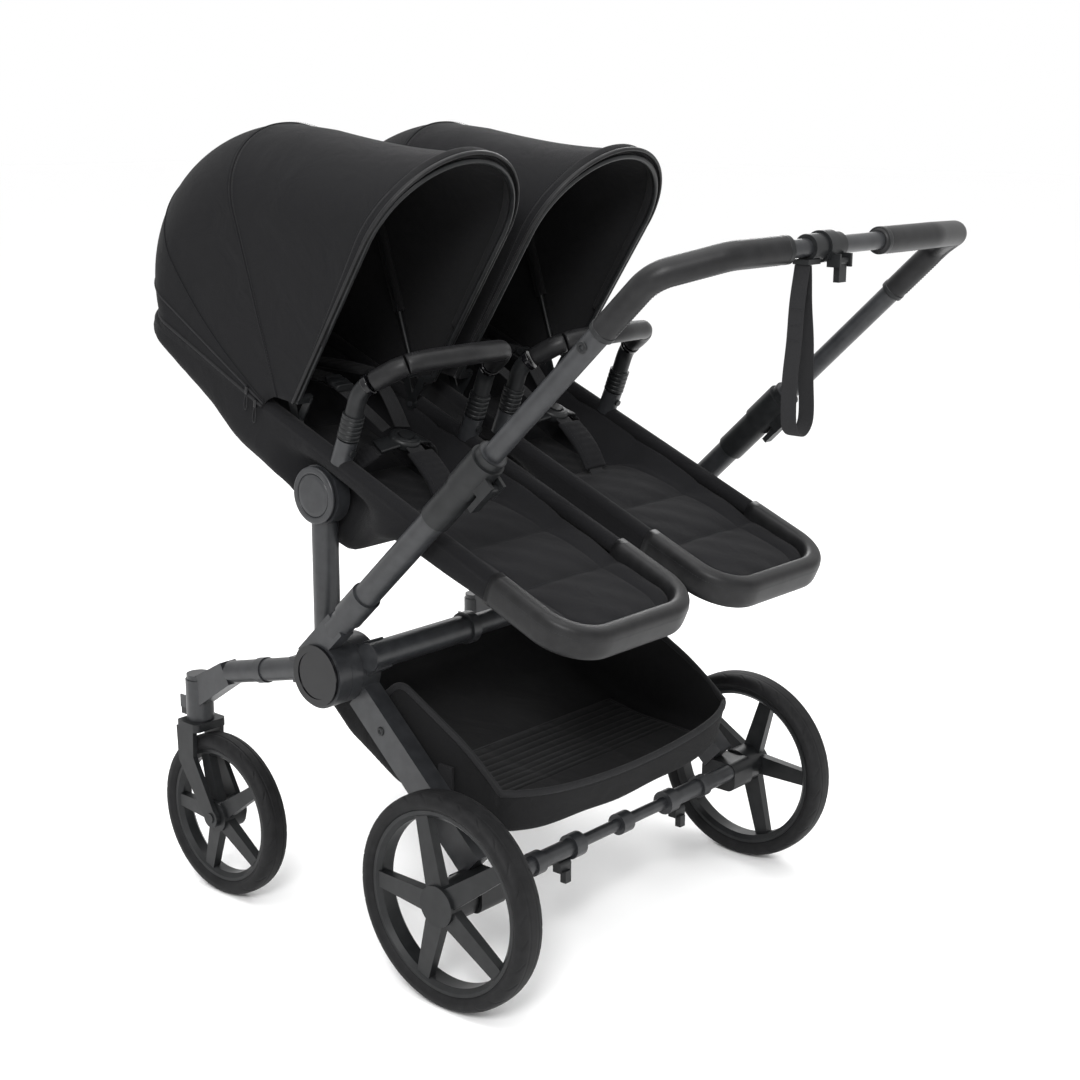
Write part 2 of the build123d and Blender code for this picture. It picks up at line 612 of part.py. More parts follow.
# Bumper bar with a peg at each end
bar_points = [(rail_x, socket_u, socket_v + face_gap), (rail_x, 16, 176), (rail_x - 29, 58, 235), (0, 75, 247)]
bar_points += [(-x, u, v) for x, u, v in reversed(bar_points[:-1])]
route = FilletPolyline(*[seat_point(seat_x + x, u, v) for x, u, v in bar_points], radius=[44, 44, 150, 44, 44])
bumper = sweep(Plane(origin=route @ 0, z_dir=route % 0) * Circle(15), path=route)
bumper -= seat_block(-seat_half_w - 20, seat_half_w + 20, -10, 40, socket_v - 20, socket_v + face_gap)
for hand in (-1, 1):
    bumper += seat_rod((hand * rail_x, socket_u, socket_v - 20), (hand * rail_x, socket_u, socket_v + 6), 8)
bumper = solid_of(bumper)

# Canopy: two bows on a pin at each rail, with fabric from the head end to the middle bow and on to the rim
canopy_half_w = seat_half_w + canopy_t + 0.5
bow_gap = 3.0


def bow_plane(angle):
    """The plane through the canopy's pin at an angle from the direction of the feet."""
    turn = math.radians(angle) - pitch
    radial = Vector(0, math.cos(turn), math.sin(turn))
    return Plane(origin=seat_point(seat_x, canopy_u, rail_v), x_dir=(1, 0, 0), z_dir=Vector(1, 0, 0).cross(radial))


def arch(angle, top, rise, foot):
    """A thin arch of fabric in one bow plane: straight sides under half an ellipse."""
    w = canopy_half_w
    t = canopy_t
    spring = top - rise
    with BuildSketch(bow_plane(angle)) as band:
        with BuildLine():
            Line((w, foot), (w, spring))
            EllipticalCenterArc((0, spring), w, rise, start_angle=0, arc_size=180)
            Line((-w, spring), (-w, foot))
            Line((-w, foot), (t - w, foot))
            Line((t - w, foot), (t - w, spring))
            EllipticalCenterArc((0, spring), w - t, rise - t, start_angle=0, arc_size=180)
            Line((w - t, spring), (w - t, foot))
            Line((w - t, foot), (w, foot))
        make_face()
    return band.sketch.faces()[0]


rear_sections = [(178, canopy_back_r + 8, 84, 50), (164, 428, 110, 45), (148, 450, 124, 45), (131, 431, 124, 45)]
front_sections = [(130, 431, 124, 45), (79.5, bow_front_r, 140, 45)]
canopy_rear = solid_of(loft([arch(*s) for s in rear_sections], ruled=True))
canopy_front = solid_of(loft([arch(*s) for s in front_sections], ruled=True))


def bow(angle, top, rise, plate_x):
    """One bow: a round hoop inside the fabric, with a thin plate on the pin at each side."""
    plane = bow_plane(angle)
    inset = canopy_t + bow_gap + bow_d / 2
    w = canopy_half_w - canopy_t - face_gap - bow_d / 2
    spring = top - rise
    with BuildLine(plane) as hoop:
        Line((w, 45), (w, spring))
        EllipticalCenterArc((0, spring), w, rise - inset, start_angle=0, arc_size=180)
        Line((-w, spring), (-w, 45))
    wire = hoop.wires()[0]
    piece = sweep(Plane(origin=wire @ 0, z_dir=wire % 0) * Circle(bow_d / 2), path=wire)
    for hand in (-1, 1):
        leg = Pos(hand * (w + plate_x) / 2, 45, 0) * Box(w - plate_x + 4, 12, 7)
        strip = Pos(hand * plate_x, 24, 0) * Box(2.7, 48, 12)
        eye = Pos(hand * plate_x, 0, 0) * (Rot(0, 90, 0) * Cylinder(10, 2.7))
        piece += plane * (leg + strip + eye)
    for hand in (-1, 1):
        piece -= seat_rod((hand * (plate_x - 3), canopy_u, rail_v), (hand * (plate_x + 3), canopy_u, rail_v), 4 + running_fit)
    return solid_of(piece)


plate_outer = rail_x - rail_d / 2 - face_gap - 1.35
plate_inner = plate_outer - 3.0
seat_nodes = {
    "seat_frame": [frame],
    "bar_buttons": button,
    "seat_shell": [shell],
    "seat_liner": [liner],
    "harness": harness,
    "buckle_button": [release],
    "bumper_bar": [bumper],
    "canopy_bow_mid": [bow(bow_mid_angle, bow_mid_r, 124, plate_outer)],
    "canopy_bow_front": [bow(bow_front_angle, bow_front_r, 140, plate_inner)],
    "canopy_rear": [canopy_rear],
    "canopy_front": [canopy_front],
}
for name, shapes in seat_nodes.items():
    save(f"{name}_left", shapes)
    save(f"{name}_right", [other_side(s) for s in shapes])
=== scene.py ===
# %% [markdown]
# A side-by-side twin stroller, finished piece by piece around the frame that its maker drew. The hard parts
# (tubes, hubs, rims, forks) already have the right shape, so they only need finishes. Everything sewn, padded
# or moulded in rubber is drawn again here as a curved surface.

# %% Load the frame
import json
import math
import bpy
import mathutils
import numpy as np
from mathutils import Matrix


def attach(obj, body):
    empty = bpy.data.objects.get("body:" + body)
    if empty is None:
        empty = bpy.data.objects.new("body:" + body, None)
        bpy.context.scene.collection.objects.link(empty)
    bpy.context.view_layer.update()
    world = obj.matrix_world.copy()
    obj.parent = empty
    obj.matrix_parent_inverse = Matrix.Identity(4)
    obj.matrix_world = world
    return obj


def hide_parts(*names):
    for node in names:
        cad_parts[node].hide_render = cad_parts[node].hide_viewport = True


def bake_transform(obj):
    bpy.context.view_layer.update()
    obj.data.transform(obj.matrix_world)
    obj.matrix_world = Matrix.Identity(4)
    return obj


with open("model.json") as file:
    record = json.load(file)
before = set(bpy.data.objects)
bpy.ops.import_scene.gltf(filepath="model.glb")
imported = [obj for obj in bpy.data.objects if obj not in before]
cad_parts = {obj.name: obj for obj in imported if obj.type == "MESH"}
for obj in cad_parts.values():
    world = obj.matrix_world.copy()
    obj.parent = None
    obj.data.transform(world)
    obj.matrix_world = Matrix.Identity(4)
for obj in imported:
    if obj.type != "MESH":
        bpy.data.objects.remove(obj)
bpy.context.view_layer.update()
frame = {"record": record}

joints = {j["name"]: j for j in frame["record"]["behaviour"]["joints"]}
SIDES = ("left", "right")

# %% [markdown]
# A surface is a function of two parameters worked out on a grid. These helpers take such a grid of points and
# turn it into one mesh with its own UV map in metres, so a weave keeps its real size wherever it lies.


# %% Grid to mesh
def lengths(points, axis):
    """Running length along one direction of a grid: the sum of the steps so far, in metres."""
    step = np.linalg.norm(np.diff(points, axis=axis), axis=-1)
    start = np.zeros_like(np.take(step, [0], axis=axis))
    return np.cumsum(np.concatenate([start, step], axis=axis), axis=axis)


def surface(name, points, body, finish, wrap_u=False, wrap_v=False, thick=0.0, inside=None, offset=-1.0):
    """One mesh from a grid (nu, nv, 3). A wrapped direction joins its end to its start."""
    nu, nv = points.shape[:2]
    closed = points
    if wrap_u:
        closed = np.concatenate([closed, closed[:1]], axis=0)
    if wrap_v:
        closed = np.concatenate([closed, closed[:, :1]], axis=1)
    i, j = np.meshgrid(np.arange(closed.shape[0] - 1), np.arange(closed.shape[1] - 1), indexing="ij")
    corners = np.stack([np.stack([i, j], -1), np.stack([i + 1, j], -1),
                        np.stack([i + 1, j + 1], -1), np.stack([i, j + 1], -1)], axis=2).reshape(-1, 4, 2)
    p = closed[corners[..., 0], corners[..., 1]]
    normal = np.cross(p[:, 2] - p[:, 0], p[:, 3] - p[:, 1])
    middle = np.mean(points.reshape(-1, 3), axis=0) if inside is None else np.array(inside)
    if np.sum(normal * (p.mean(axis=1) - middle)) < 0:
        corners = corners[:, ::-1]
    index = (corners[..., 0] % nu) * nv + corners[..., 1] % nv
    uv = np.stack([lengths(closed, 0), lengths(closed, 1)], -1)
    mesh = bpy.data.meshes.new(name)
    mesh.from_pydata(points.reshape(-1, 3).tolist(), [], index.tolist())
    layer = mesh.uv_layers.new(name="cloth")
    layer.data.foreach_set("uv", uv[corners[..., 0], corners[..., 1]].reshape(-1).astype(np.float32))
    mesh.validate()
    return finish_piece(name, mesh, body, finish, thick, offset)


def finish_piece(name, mesh, body, finish, thick=0.0, offset=-1.0):
    """Put a mesh in the scene, smooth, with its finish and material slot, riding on a body."""
    piece = bpy.data.objects.new(name, mesh)
    bpy.context.scene.collection.objects.link(piece)
    mesh.polygons.foreach_set("use_smooth", np.ones(len(mesh.polygons), dtype=bool))
    mesh.materials.append(finish)
    if thick:
        wall = piece.modifiers.new("cloth thickness", "SOLIDIFY")
        wall.thickness = thick
        wall.offset = offset
    if body:
        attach(piece, body)
    return piece


def cloth_area(grid):
    """The area of a grid: half the length of the cross product of each cell's diagonals, added up."""
    p, q = grid[1:, 1:] - grid[:-1, :-1], grid[1:, :-1] - grid[:-1, 1:]
    return float(np.linalg.norm(np.cross(p, q), axis=-1).sum() / 2)


def rounded(points, rounds=4):
    """Corner cutting: each round puts points a quarter and three quarters along every run."""
    path = np.array(points, dtype=float)
    for _ in range(rounds):
        a, b = path[:-1], path[1:]
        cut = np.stack([0.75 * a + 0.25 * b, 0.25 * a + 0.75 * b], axis=1).reshape(-1, 3)
        path = np.concatenate([path[:1], cut, path[-1:]])
    return path


def resampled(path, at, old):
    """A path's points read at new places: each coordinate interpolated from the old places."""
    return np.stack([np.interp(at, old, path[:, k]) for k in range(path.shape[1])], -1)


def unit(vectors):
    """Vectors divided by their own lengths."""
    return vectors / np.linalg.norm(vectors, axis=-1, keepdims=True)


def circle(n):
    """A column of n even angles round a full turn."""
    return np.linspace(0, 2 * np.pi, n, endpoint=False)[:, None]


def frames(path, ref, loop=False):
    """Two directions square to a path at each point: ref made square to it, and their cross product."""
    tangent = unit(np.roll(path, -1, 0) - np.roll(path, 1, 0) if loop else np.gradient(path, axis=0))
    side = unit(np.cross(tangent, np.broadcast_to(ref, tangent.shape)))
    return side, np.cross(side, tangent)


def sweep(path, ref, wide, deep, sides=28, power=1.0, loop=False):
    """A section carried along a path: side * wide * cos(a) + up * deep * sin(a), squarer as power falls."""
    side, up = frames(path, ref, loop)
    a = np.linspace(0, 2 * np.pi, sides, endpoint=False)
    c = np.sign(np.cos(a)) * np.abs(np.cos(a)) ** power
    s = np.sign(np.sin(a)) * np.abs(np.sin(a)) ** power
    wide = np.broadcast_to(wide, len(path))[:, None, None]
    deep = np.broadcast_to(deep, len(path))[:, None, None]
    return path[:, None] + side[:, None] * wide * c[None, :, None] + up[:, None] * deep * s[None, :, None]


def even_profile(r, h, n):
    """A profile of two coordinates at n even steps along its length."""
    run = np.concatenate([[0], np.cumsum(np.hypot(np.diff(r), np.diff(h)))])
    at = np.linspace(0, run[-1], n)
    return np.interp(at, run, r), np.interp(at, run, h)


def u_section(q, half, depth, soft):
    """A flat-bottomed U at fractions q of its length: x without its sign, and the straight and curved drop."""
    side_run, arc = depth - soft, np.pi / 2 * soft
    total = 2 * side_run + 2 * arc + 2 * (half - soft)
    t = np.minimum(q * total, total - q * total)
    angle = np.clip((t - side_run) / soft, 0, np.pi / 2)
    x = half - soft + soft * np.cos(angle) - np.maximum(t - side_run - arc, 0)
    return x, np.minimum(t, side_run), soft * np.sin(angle)


def turned(centre, x, reach, a):
    """A profile turned about the X axis: centre + (x, reach * cos(a), reach * sin(a))."""
    return centre + np.stack(np.broadcast_arrays(x, reach * np.cos(a), reach * np.sin(a)), -1)


def capped(grid):
    """Close both ends of a swept section by drawing its last rows in to their middle."""
    first, last = grid[:1].mean(axis=1, keepdims=True), grid[-1:].mean(axis=1, keepdims=True)
    def inward(ring, mid, k):
        return mid + (ring - mid) * k
    return np.concatenate([inward(grid[:1], first, 0.02), inward(grid[:1], first, 0.9), grid,
                           inward(grid[-1:], last, 0.9), inward(grid[-1:], last, 0.02)], axis=0)


def tube(name, body, finish, path, ref, wide, deep, sides=28, power=1.0):
    """One piece from a section carried along a path and closed at both ends."""
    return surface(name, capped(sweep(path, ref, wide, deep, sides, power)), body, finish, wrap_v=True)


# %% [markdown]
# Thread: a row of short stitches is many copies of one small lens of eight corners, all in one mesh.


# %% Stitches
FINE = 0.0004  # half the width of the finer thread


def stitches(name, path, out, body, finish, pitch=0.0042, long=0.0029, half=0.00055):
    """Stitches every pitch along a path, raised along out: eight corners each, tapered at both ends."""
    run = lengths(path[:, None], 0)[:, 0]
    at = np.arange(pitch / 2, run[-1], pitch)
    mid, up = resampled(path, at, run), unit(resampled(np.broadcast_to(out, path.shape), at, run))
    ahead = unit(np.gradient(mid, axis=0))
    across = np.cross(up, ahead)
    corner = np.array([(-1, 0, 0), (-.4, 1, .2), (-.4, -1, .2), (-.4, 0, 1.5), (.4, 1, .2), (.4, -1, .2),
                       (.4, 0, 1.5), (1, 0, 0)])
    points = (mid[:, None] + ahead[:, None] * corner[None, :, :1] * long / 2
              + across[:, None] * corner[None, :, 1:2] * half + up[:, None] * corner[None, :, 2:] * half)
    quad = [(1, 3, 6, 4), (3, 2, 5, 6), (2, 1, 4, 5)]
    tri = [(0, 3, 1), (0, 2, 3), (0, 1, 2), (7, 4, 6), (7, 6, 5), (7, 5, 4)]
    faces = [tuple(np.array(f) + 8 * k) for k in range(len(at)) for f in quad + tri]
    mesh = bpy.data.meshes.new(name)
    mesh.from_pydata(points.reshape(-1, 3).tolist(), [], [tuple(int(v) for v in f) for f in faces])
    return finish_piece(name, mesh, body, finish)


# %% [markdown]
# Finishes. Every colour is an sRGB hex value that one function turns to linear light, and one small helper adds
# a node. Pattern scales are worked out from millimetres: a wave texture's period is 0.31416 / scale.


# %% Material helpers
def linear(hex_colour):
    """sRGB hex to linear: each channel c becomes ((c + 0.055) / 1.055) ** 2.4."""
    c = np.array([int(hex_colour[k:k + 2], 16) for k in (1, 3, 5)]) / 255
    return (*[float(v) for v in np.where(c < 0.04045, c / 12.92, ((c + 0.055) / 1.055) ** 2.4)], 1.0)


def add(tree, kind, links=None, **settings):
    """Add one node; settings fill its fields or sockets, links join sockets to earlier nodes' outputs."""
    node = tree.nodes.new(kind)
    for key, value in settings.items():
        if key in node.inputs:
            node.inputs[key].default_value = value
        else:
            setattr(node, key, value)
    for socket, source in (links or {}).items():
        tree.links.new(source, node.inputs[socket])
    return node


def start(name, colour, roughness):
    """A new material with its shader set to a plain colour and roughness."""
    material = bpy.data.materials.new(name)
    material.use_nodes = True
    shader = material.node_tree.nodes["Principled BSDF"]
    shader.inputs["Base Color"].default_value = linear(colour)
    shader.inputs["Roughness"].default_value = roughness
    return material, material.node_tree, shader


def wave_scale(period_mm):
    """The wave texture's scale for bands this far apart."""
    return 0.31416 / (period_mm / 1000)


def tinted(tree, shader, coords, dark, light, scale, detail=4.0, low=0.35, high=0.7):
    """Colour that drifts between two tones with a noise of the given scale."""
    noise = add(tree, "ShaderNodeTexNoise", {"Vector": coords}, Scale=scale, Detail=detail)
    ramp = add(tree, "ShaderNodeValToRGB", {"Fac": noise.outputs["Fac"]})
    ramp.color_ramp.elements[0].position = low
    ramp.color_ramp.elements[0].color = linear(dark)
    ramp.color_ramp.elements[1].position = high
    ramp.color_ramp.elements[1].color = linear(light)
    tree.links.new(ramp.outputs["Color"], shader.inputs["Base Color"])


def woven(name, dark, light, thread_mm, roughness, bump=0.35, shine=0.12):
    """Plain-weave cloth: two crossed waves a thread apart raise the yarns, and a noise mottles their colour."""
    material, tree, shader = start(name, light, roughness)
    shader.inputs["Sheen Weight"].default_value = 0.03
    shader.inputs["Specular IOR Level"].default_value = shine
    shader.inputs["Sheen Roughness"].default_value = 0.5
    uv = add(tree, "ShaderNodeUVMap", uv_map="cloth").outputs["UV"]
    scale = wave_scale(thread_mm)
    warp = add(tree, "ShaderNodeTexWave", {"Vector": uv}, bands_direction="X", Scale=scale, Distortion=0.6)
    weft = add(tree, "ShaderNodeTexWave", {"Vector": uv}, bands_direction="Y", Scale=scale, Distortion=0.6)
    cloth = add(tree, "ShaderNodeMath", {0: warp.outputs["Fac"], 1: weft.outputs["Fac"]}, operation="MAXIMUM")
    tinted(tree, shader, uv, dark, light, 900.0, 6.0)
    relief = add(tree, "ShaderNodeBump", {"Height": cloth.outputs[0]}, Strength=bump, Distance=0.0004)
    soft = add(tree, "ShaderNodeTexNoise", {"Vector": uv}, Scale=13.0, Detail=3.5, Distortion=0.8)
    drape = add(tree, "ShaderNodeBump", {"Height": soft.outputs["Fac"], "Normal": relief.outputs["Normal"]},
                Strength=0.30, Distance=0.012)
    tree.links.new(drape.outputs["Normal"], shader.inputs["Normal"])
    return material


def grained(name, dark, light, roughness, grain_mm, bump, kind="noise", spread=60.0, shine=0.3):
    """A coated, moulded or grained surface: fine relief a grain apart, and a slow drift in tone."""
    material, tree, shader = start(name, light, roughness)
    shader.inputs["Specular IOR Level"].default_value = shine
    place = add(tree, "ShaderNodeTexCoord").outputs["Object"]
    tinted(tree, shader, place, dark, light, spread)
    if kind == "cells":
        fine = add(tree, "ShaderNodeTexVoronoi", {"Vector": place}, Scale=1000 / grain_mm, feature="SMOOTH_F1")
        height = fine.outputs["Distance"]
    else:
        fine = add(tree, "ShaderNodeTexNoise", {"Vector": place}, Scale=1000 / grain_mm, Detail=2.0)
        height = fine.outputs["Fac"]
    relief = add(tree, "ShaderNodeBump", {"Height": height}, Strength=bump, Distance=0.0003)
    tree.links.new(relief.outputs["Normal"], shader.inputs["Normal"])
    smear = add(tree, "ShaderNodeTexNoise", {"Vector": place}, Scale=22.0, Detail=5.0)
    gloss = add(tree, "ShaderNodeMapRange", {"Value": smear.outputs["Fac"]}, **{"To Min": roughness - 0.05,
                                                                                "To Max": roughness + 0.08})
    tree.links.new(gloss.outputs[0], shader.inputs["Roughness"])
    return material


# %% [markdown]
# The stroller is black on black, so the finishes differ in gloss and texture more than in colour. Powder coat on
# aluminium has a fine orange peel and a satin shine. Moulded nylon is duller. The leatherette of the grips has a
# cell grain, the canopy is a mottled recycled polyester canvas, and tyres are solid foam rubber.

# %% The finishes of this stroller
powder_coat = grained("powder_coated_aluminium", "#1f2022", "#292a2c", 0.36, 1.2, 0.10, shine=0.4)
nylon = grained("moulded_nylon", "#131415", "#1b1c1d", 0.40, 0.9, 0.12, shine=0.25)
gloss_cap = grained("polished_abs_cap", "#08080a", "#0e0e10", 0.16, 4.0, 0.02)
leatherette = grained("leatherette", "#121213", "#1a1a1b", 0.42, 1.6, 0.35, "cells", shine=0.22)
rubber = grained("foam_rubber", "#121213", "#19191a", 0.60, 1.4, 0.25, shine=0.16)
canvas = woven("canopy_canvas", "#101011", "#19191b", 1.1, 0.86, shine=0.08)
liner_cloth = woven("seat_twill", "#131314", "#1d1d1f", 1.3, 0.88, 0.3, shine=0.08)
lining = woven("canopy_lining", "#141415", "#1f1f20", 0.9, 0.9, 0.2)
bag_cloth = woven("basket_ripstop", "#0e0e0f", "#161617", 1.6, 0.8, 0.35)
web_cloth = woven("polyester_webbing", "#131314", "#1d1d1f", 1.6, 0.7, 0.6, 0.2)
thread = grained("polyester_thread", "#222224", "#2e2e30", 0.6, 0.5, 0.2, shine=0.2)

CAD_FINISH = {
    powder_coat: ("fold_hubs", "rear_legs", "rear_bar_sleeves", "main_cross_sleeves", "seat_uprights", "middle_post",
                  "front_arms", "handle_sockets", "handle_upper_tubes", "handle_bar", "seat_frame_left",
                  "seat_frame_right", "main_cross_inner", "rear_bar_inner"),
    nylon: ("rear_axle_carriers", "width_lock_levers", "swivel_lock_tabs", "caster_fork_left", "caster_fork_right",
            "height_clamps", "height_levers", "brake_bracket", "brake_lever", "bar_buttons_left",
            "bar_buttons_right", "buckle_button_left", "buckle_button_right", "front_rim_left", "front_rim_right",
            "rear_rim_left", "rear_rim_right", "canopy_bow_mid_left", "canopy_bow_mid_right",
            "canopy_bow_front_left", "canopy_bow_front_right"),
    gloss_cap: ("hub_caps",),
    web_cloth: ("basket_straps",),
}
for finish, nodes in CAD_FINISH.items():
    for node in nodes:
        piece = bpy.data.objects[node]
        piece.data.materials.clear()
        piece.data.materials.append(finish)
print("finished", sum(len(v) for v in CAD_FINISH.values()), "hard nodes")

# %% [markdown]
# The camera stands behind and to the left of the stroller, a little above the handlebar, with a long lens. The
# floor is a plain pale sheet, and broad soft lights give the dark tubes their long even highlights.

# %% Camera, floor and light
target = np.array([0.0005, -0.0042, 0.5643])
azimuth, elevation, roll, distance = math.radians(130.9), math.radians(13.7), math.radians(0.3), 2.6332
away = np.array([math.sin(azimuth) * math.cos(elevation), -math.cos(azimuth) * math.cos(elevation),
                 math.sin(elevation)])
camera_data = bpy.data.cameras.new("camera")
camera_data.lens = 59.32
camera_data.sensor_width = 36.0
camera = bpy.data.objects.new("camera", camera_data)
camera.location = (target + distance * away).tolist()
aim = mathutils.Vector((-away).tolist()).to_track_quat("-Z", "Y")
camera.rotation_mode = "QUATERNION"
camera.rotation_quaternion = aim @ mathutils.Quaternion((0, 0, 1), roll)
bpy.context.scene.collection.objects.link(camera)
bpy.context.scene.camera = camera

floor_mesh = bpy.data.meshes.new("floor")
floor_mesh.from_pydata([(-30, -30, 0), (30, -30, 0), (30, 30, 0), (-30, 30, 0)], [], [(0, 1, 2, 3)])
floor = bpy.data.objects.new("floor", floor_mesh)
bpy.context.scene.collection.objects.link(floor)
floor_mesh.materials.append(start("seamless_paper", "#ffffff", 0.9)[0])
world = bpy.data.worlds.new("studio")
bpy.context.scene.world = world
world.use_nodes = True
world.node_tree.nodes["Background"].inputs[0].default_value = (1, 1, 1, 1)
world.node_tree.nodes["Background"].inputs[1].default_value = 1.0


def softbox(name, place, look, size, power):
    """A square area light at place, facing look."""
    data = bpy.data.lights.new(name, "AREA")
    data.shape = "SQUARE"
    data.size = size
    data.energy = power
    lamp = bpy.data.objects.new(name, data)
    lamp.location = place
    lamp.rotation_euler = (mathutils.Vector(look) - mathutils.Vector(place)).to_track_quat("-Z", "Y").to_euler()
    bpy.context.scene.collection.objects.link(lamp)


softbox("top_light", (0.2, 0.0, 3.4), (0, 0, 0.4), 3.2, 80)
softbox("key_light", (2.6, 1.9, 2.6), (0, 0, 0.6), 0.9, 90)
softbox("back_light", (-2.4, -1.6, 2.2), (0, 0, 0.8), 1.2, 30)
bpy.context.scene.view_settings.view_transform = "Standard"

# %% [markdown]
# Each seat slopes down towards the parent. Its pieces are easiest to place in the seat's own directions: x across
# from its middle, u along the slope towards the feet, and v square to it, all from the tilt pivot.


# %% Seat directions
def seat_xyz(side, x, u, v):
    """Seat coordinates in metres to the stroller's frame, for numbers or whole arrays."""
    origin = joints[f"seat_tilt_{side}"]["pos_m"]
    up = joints[f"bumper_bar_lift_{side}"]["axis"]
    x, u, v = np.broadcast_arrays(np.asarray(x, float), u, v)
    return np.stack([origin[0] + x, origin[1] + u * up[2] + v * up[1], origin[2] - u * up[1] + v * up[2]], -1)


def seat_dir(side, x, u, v):
    return seat_xyz(side, x, u, v) - seat_xyz(side, 0, 0, 0)


RAIL_X, RAIL_V, RAIL_CORNER = 0.127, 0.062, 0.062
HEAD_U, FOOT_U = -0.440, 0.480


def smooth_line(u, knots_u, knots_v, blur=0.02):
    """Straight runs between knots, softened by averaging over a short span of u."""
    span = np.linspace(-blur, blur, 21)
    return np.interp(u[:, None] + span[None, :], knots_u, knots_v).mean(axis=1)


def plan_half(u, half, first, last, corner):
    """Half width of a rounded rectangle in plan: half - corner + sqrt(corner^2 - (corner - d)^2) near an end."""
    d = np.clip(np.minimum(u - first, last - u), 0, corner)
    return half - corner + np.sqrt(np.maximum(corner ** 2 - (corner - d) ** 2, 0))


# %% [markdown]
# The outside of the seat is one sewn tray. Across the seat its section is a flat-bottomed U with soft corners; its
# depth follows the child's body, and it narrows into a deep pocket under the hips, between the uprights. The rows
# are closer together at both ends, where the plan rounds off.

# %% Seat shells
def ends_close(first, last, n):
    """Positions from first to last, packed towards both ends: a half cosine."""
    return first + (last - first) * 0.5 * (1 - np.cos(np.linspace(0, np.pi, n)))


def seat_shell(side):
    u = ends_close(-0.451, 0.491, 120)
    bottom = smooth_line(u, [-.451, -.44, -.301, -.192, -.114, -.070, -.030, .050, .100, .155, .287, .48, .491],
                         [.050, .046, .013, -.020, -.028, -.034, -.080, -.082, -.012, .016, .026, .034, .040])
    top = 0.0655
    half = plan_half(u, 0.1388, -0.4515, 0.4915, 0.074)
    pocket = smooth_line(u, [-.5, -.075, -.045, .075, .105, .6], [1, 1, 0.72, 0.72, 1, 1], 0.03)
    q = np.linspace(0, 1, 61)
    depth = (top - bottom)[:, None]
    soft = np.minimum(0.030, 0.45 * depth)
    x, straight, curved = u_section(q[None, :], half[:, None], depth, soft)
    v = top - straight - curved
    low = np.clip((top - 0.016 - v) / 0.03, 0, 1)
    low = low * low * (3 - 2 * low)
    x = x * (1 + (pocket[:, None] - 1) * low)
    sag = 0.004 * np.sin(u[:, None] * 43) * np.sin(np.pi * q[None, :]) ** 2 * (low > 0.5)
    x = np.where(q[None, :] < 0.5, -x, x)
    points = seat_xyz(side, x, u[:, None], v + sag)
    head, foot = (seat_xyz(side, x[k] * 0.9, u[k], top)[None] for k in (0, -1))
    points = np.concatenate([head, points, foot])
    piece = surface(f"seat_tray_{side}", points, f"seat_{side}", canvas, thick=0.0022,
                    inside=seat_xyz(side, 0, 0.1, 0.06))
    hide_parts(f"seat_shell_{side}")


# %% [markdown]
# A padded roll is sewn over the rail all round the seat. It is a round section carried along a rounded rectangle.
# Around the feet the same roll is covered in leatherette, because shoes rub it.


# %% Rolled rims
def rim_loop(half, first, last, corner, n=64):
    """A rounded rectangle in x and u, starting at the middle of the head end."""
    a = np.linspace(0, np.pi / 2, n // 4)
    quarter = np.stack([np.sin(a), 1 - np.cos(a)], -1) * corner
    straight = np.linspace(0, 1, 40)[1:-1, None]
    c1 = np.array([half - corner, first]) + quarter
    c2 = np.array([half, last - corner]) + np.stack([-(1 - np.cos(a)), np.sin(a)], -1) * corner
    right = np.concatenate([c1, c1[-1] + (c2[0] - c1[-1]) * straight, c2])
    across = np.linspace(0, 1, 14)[1:-1, None]
    mirror = right[::-1] * np.array([-1, 1])
    top = right[-1] + (mirror[0] - right[-1]) * across
    back = mirror[-1] + (right[0] - mirror[-1]) * across
    return np.concatenate([right, top, mirror, back])


def seat_rim(side):
    plan = rim_loop(RAIL_X, HEAD_U, FOOT_U, RAIL_CORNER)
    path = seat_xyz(side, plan[:, 0], plan[:, 1], RAIL_V)
    lift = seat_dir(side, 0, 0, 1)
    grid = sweep(path, lift, 0.0122, 0.0122, sides=24, loop=True)
    surface(f"seat_rim_{side}", grid, f"seat_{side}", canvas, wrap_u=True, wrap_v=True)
    a = np.linspace(0, np.pi / 2, 24)
    bend = np.array([RAIL_X, FOOT_U]) - RAIL_CORNER + RAIL_CORNER * np.stack([np.cos(a), np.sin(a)], -1)
    start_run = np.stack([np.full(8, RAIL_X), np.linspace(0.33, FOOT_U - 0.066, 8)], -1)
    half = np.concatenate([start_run, bend])
    middle = np.stack([np.linspace(bend[-1, 0], -bend[-1, 0], 16)[1:-1], np.full(14, FOOT_U)], -1)
    foot = np.concatenate([half, middle, half[::-1] * np.array([-1, 1])])
    path = seat_xyz(side, foot[:, 0], foot[:, 1], RAIL_V - 0.0085)
    tube(f"footrest_roll_{side}", f"seat_{side}", leatherette, path, lift, 0.0145, 0.0230, 40, 0.62)
    sides, _ = frames(path, lift)
    out = sides * np.sign(np.sum(sides * (path - path.mean(axis=0)), axis=1).mean())
    stitches(f"footrest_stitch_{side}", path + 0.0139 * out + 0.0095 * lift, out, f"seat_{side}", thread)


for side in SIDES:
    seat_shell(side)
    seat_rim(side)
print("seat shells and rims made")

# %% [markdown]
# The canopy is one curved cloth over two bows. Every bow lies in a plane through its pin on the rail, where its
# outline is two straight sides under half an ellipse. Between bows the cloth is pulled straight from arch to arch,
# so it dips a little, and behind the middle bow it runs down in a full curve to the zip round the head end.

# %% Canopy cloth
CANOPY_HALF = 0.1405
FRONT, MIDDLE, BACK = 79.5, 130.5, 178.0
FRONT_BOW = (0.450, 0.142, 0.040)


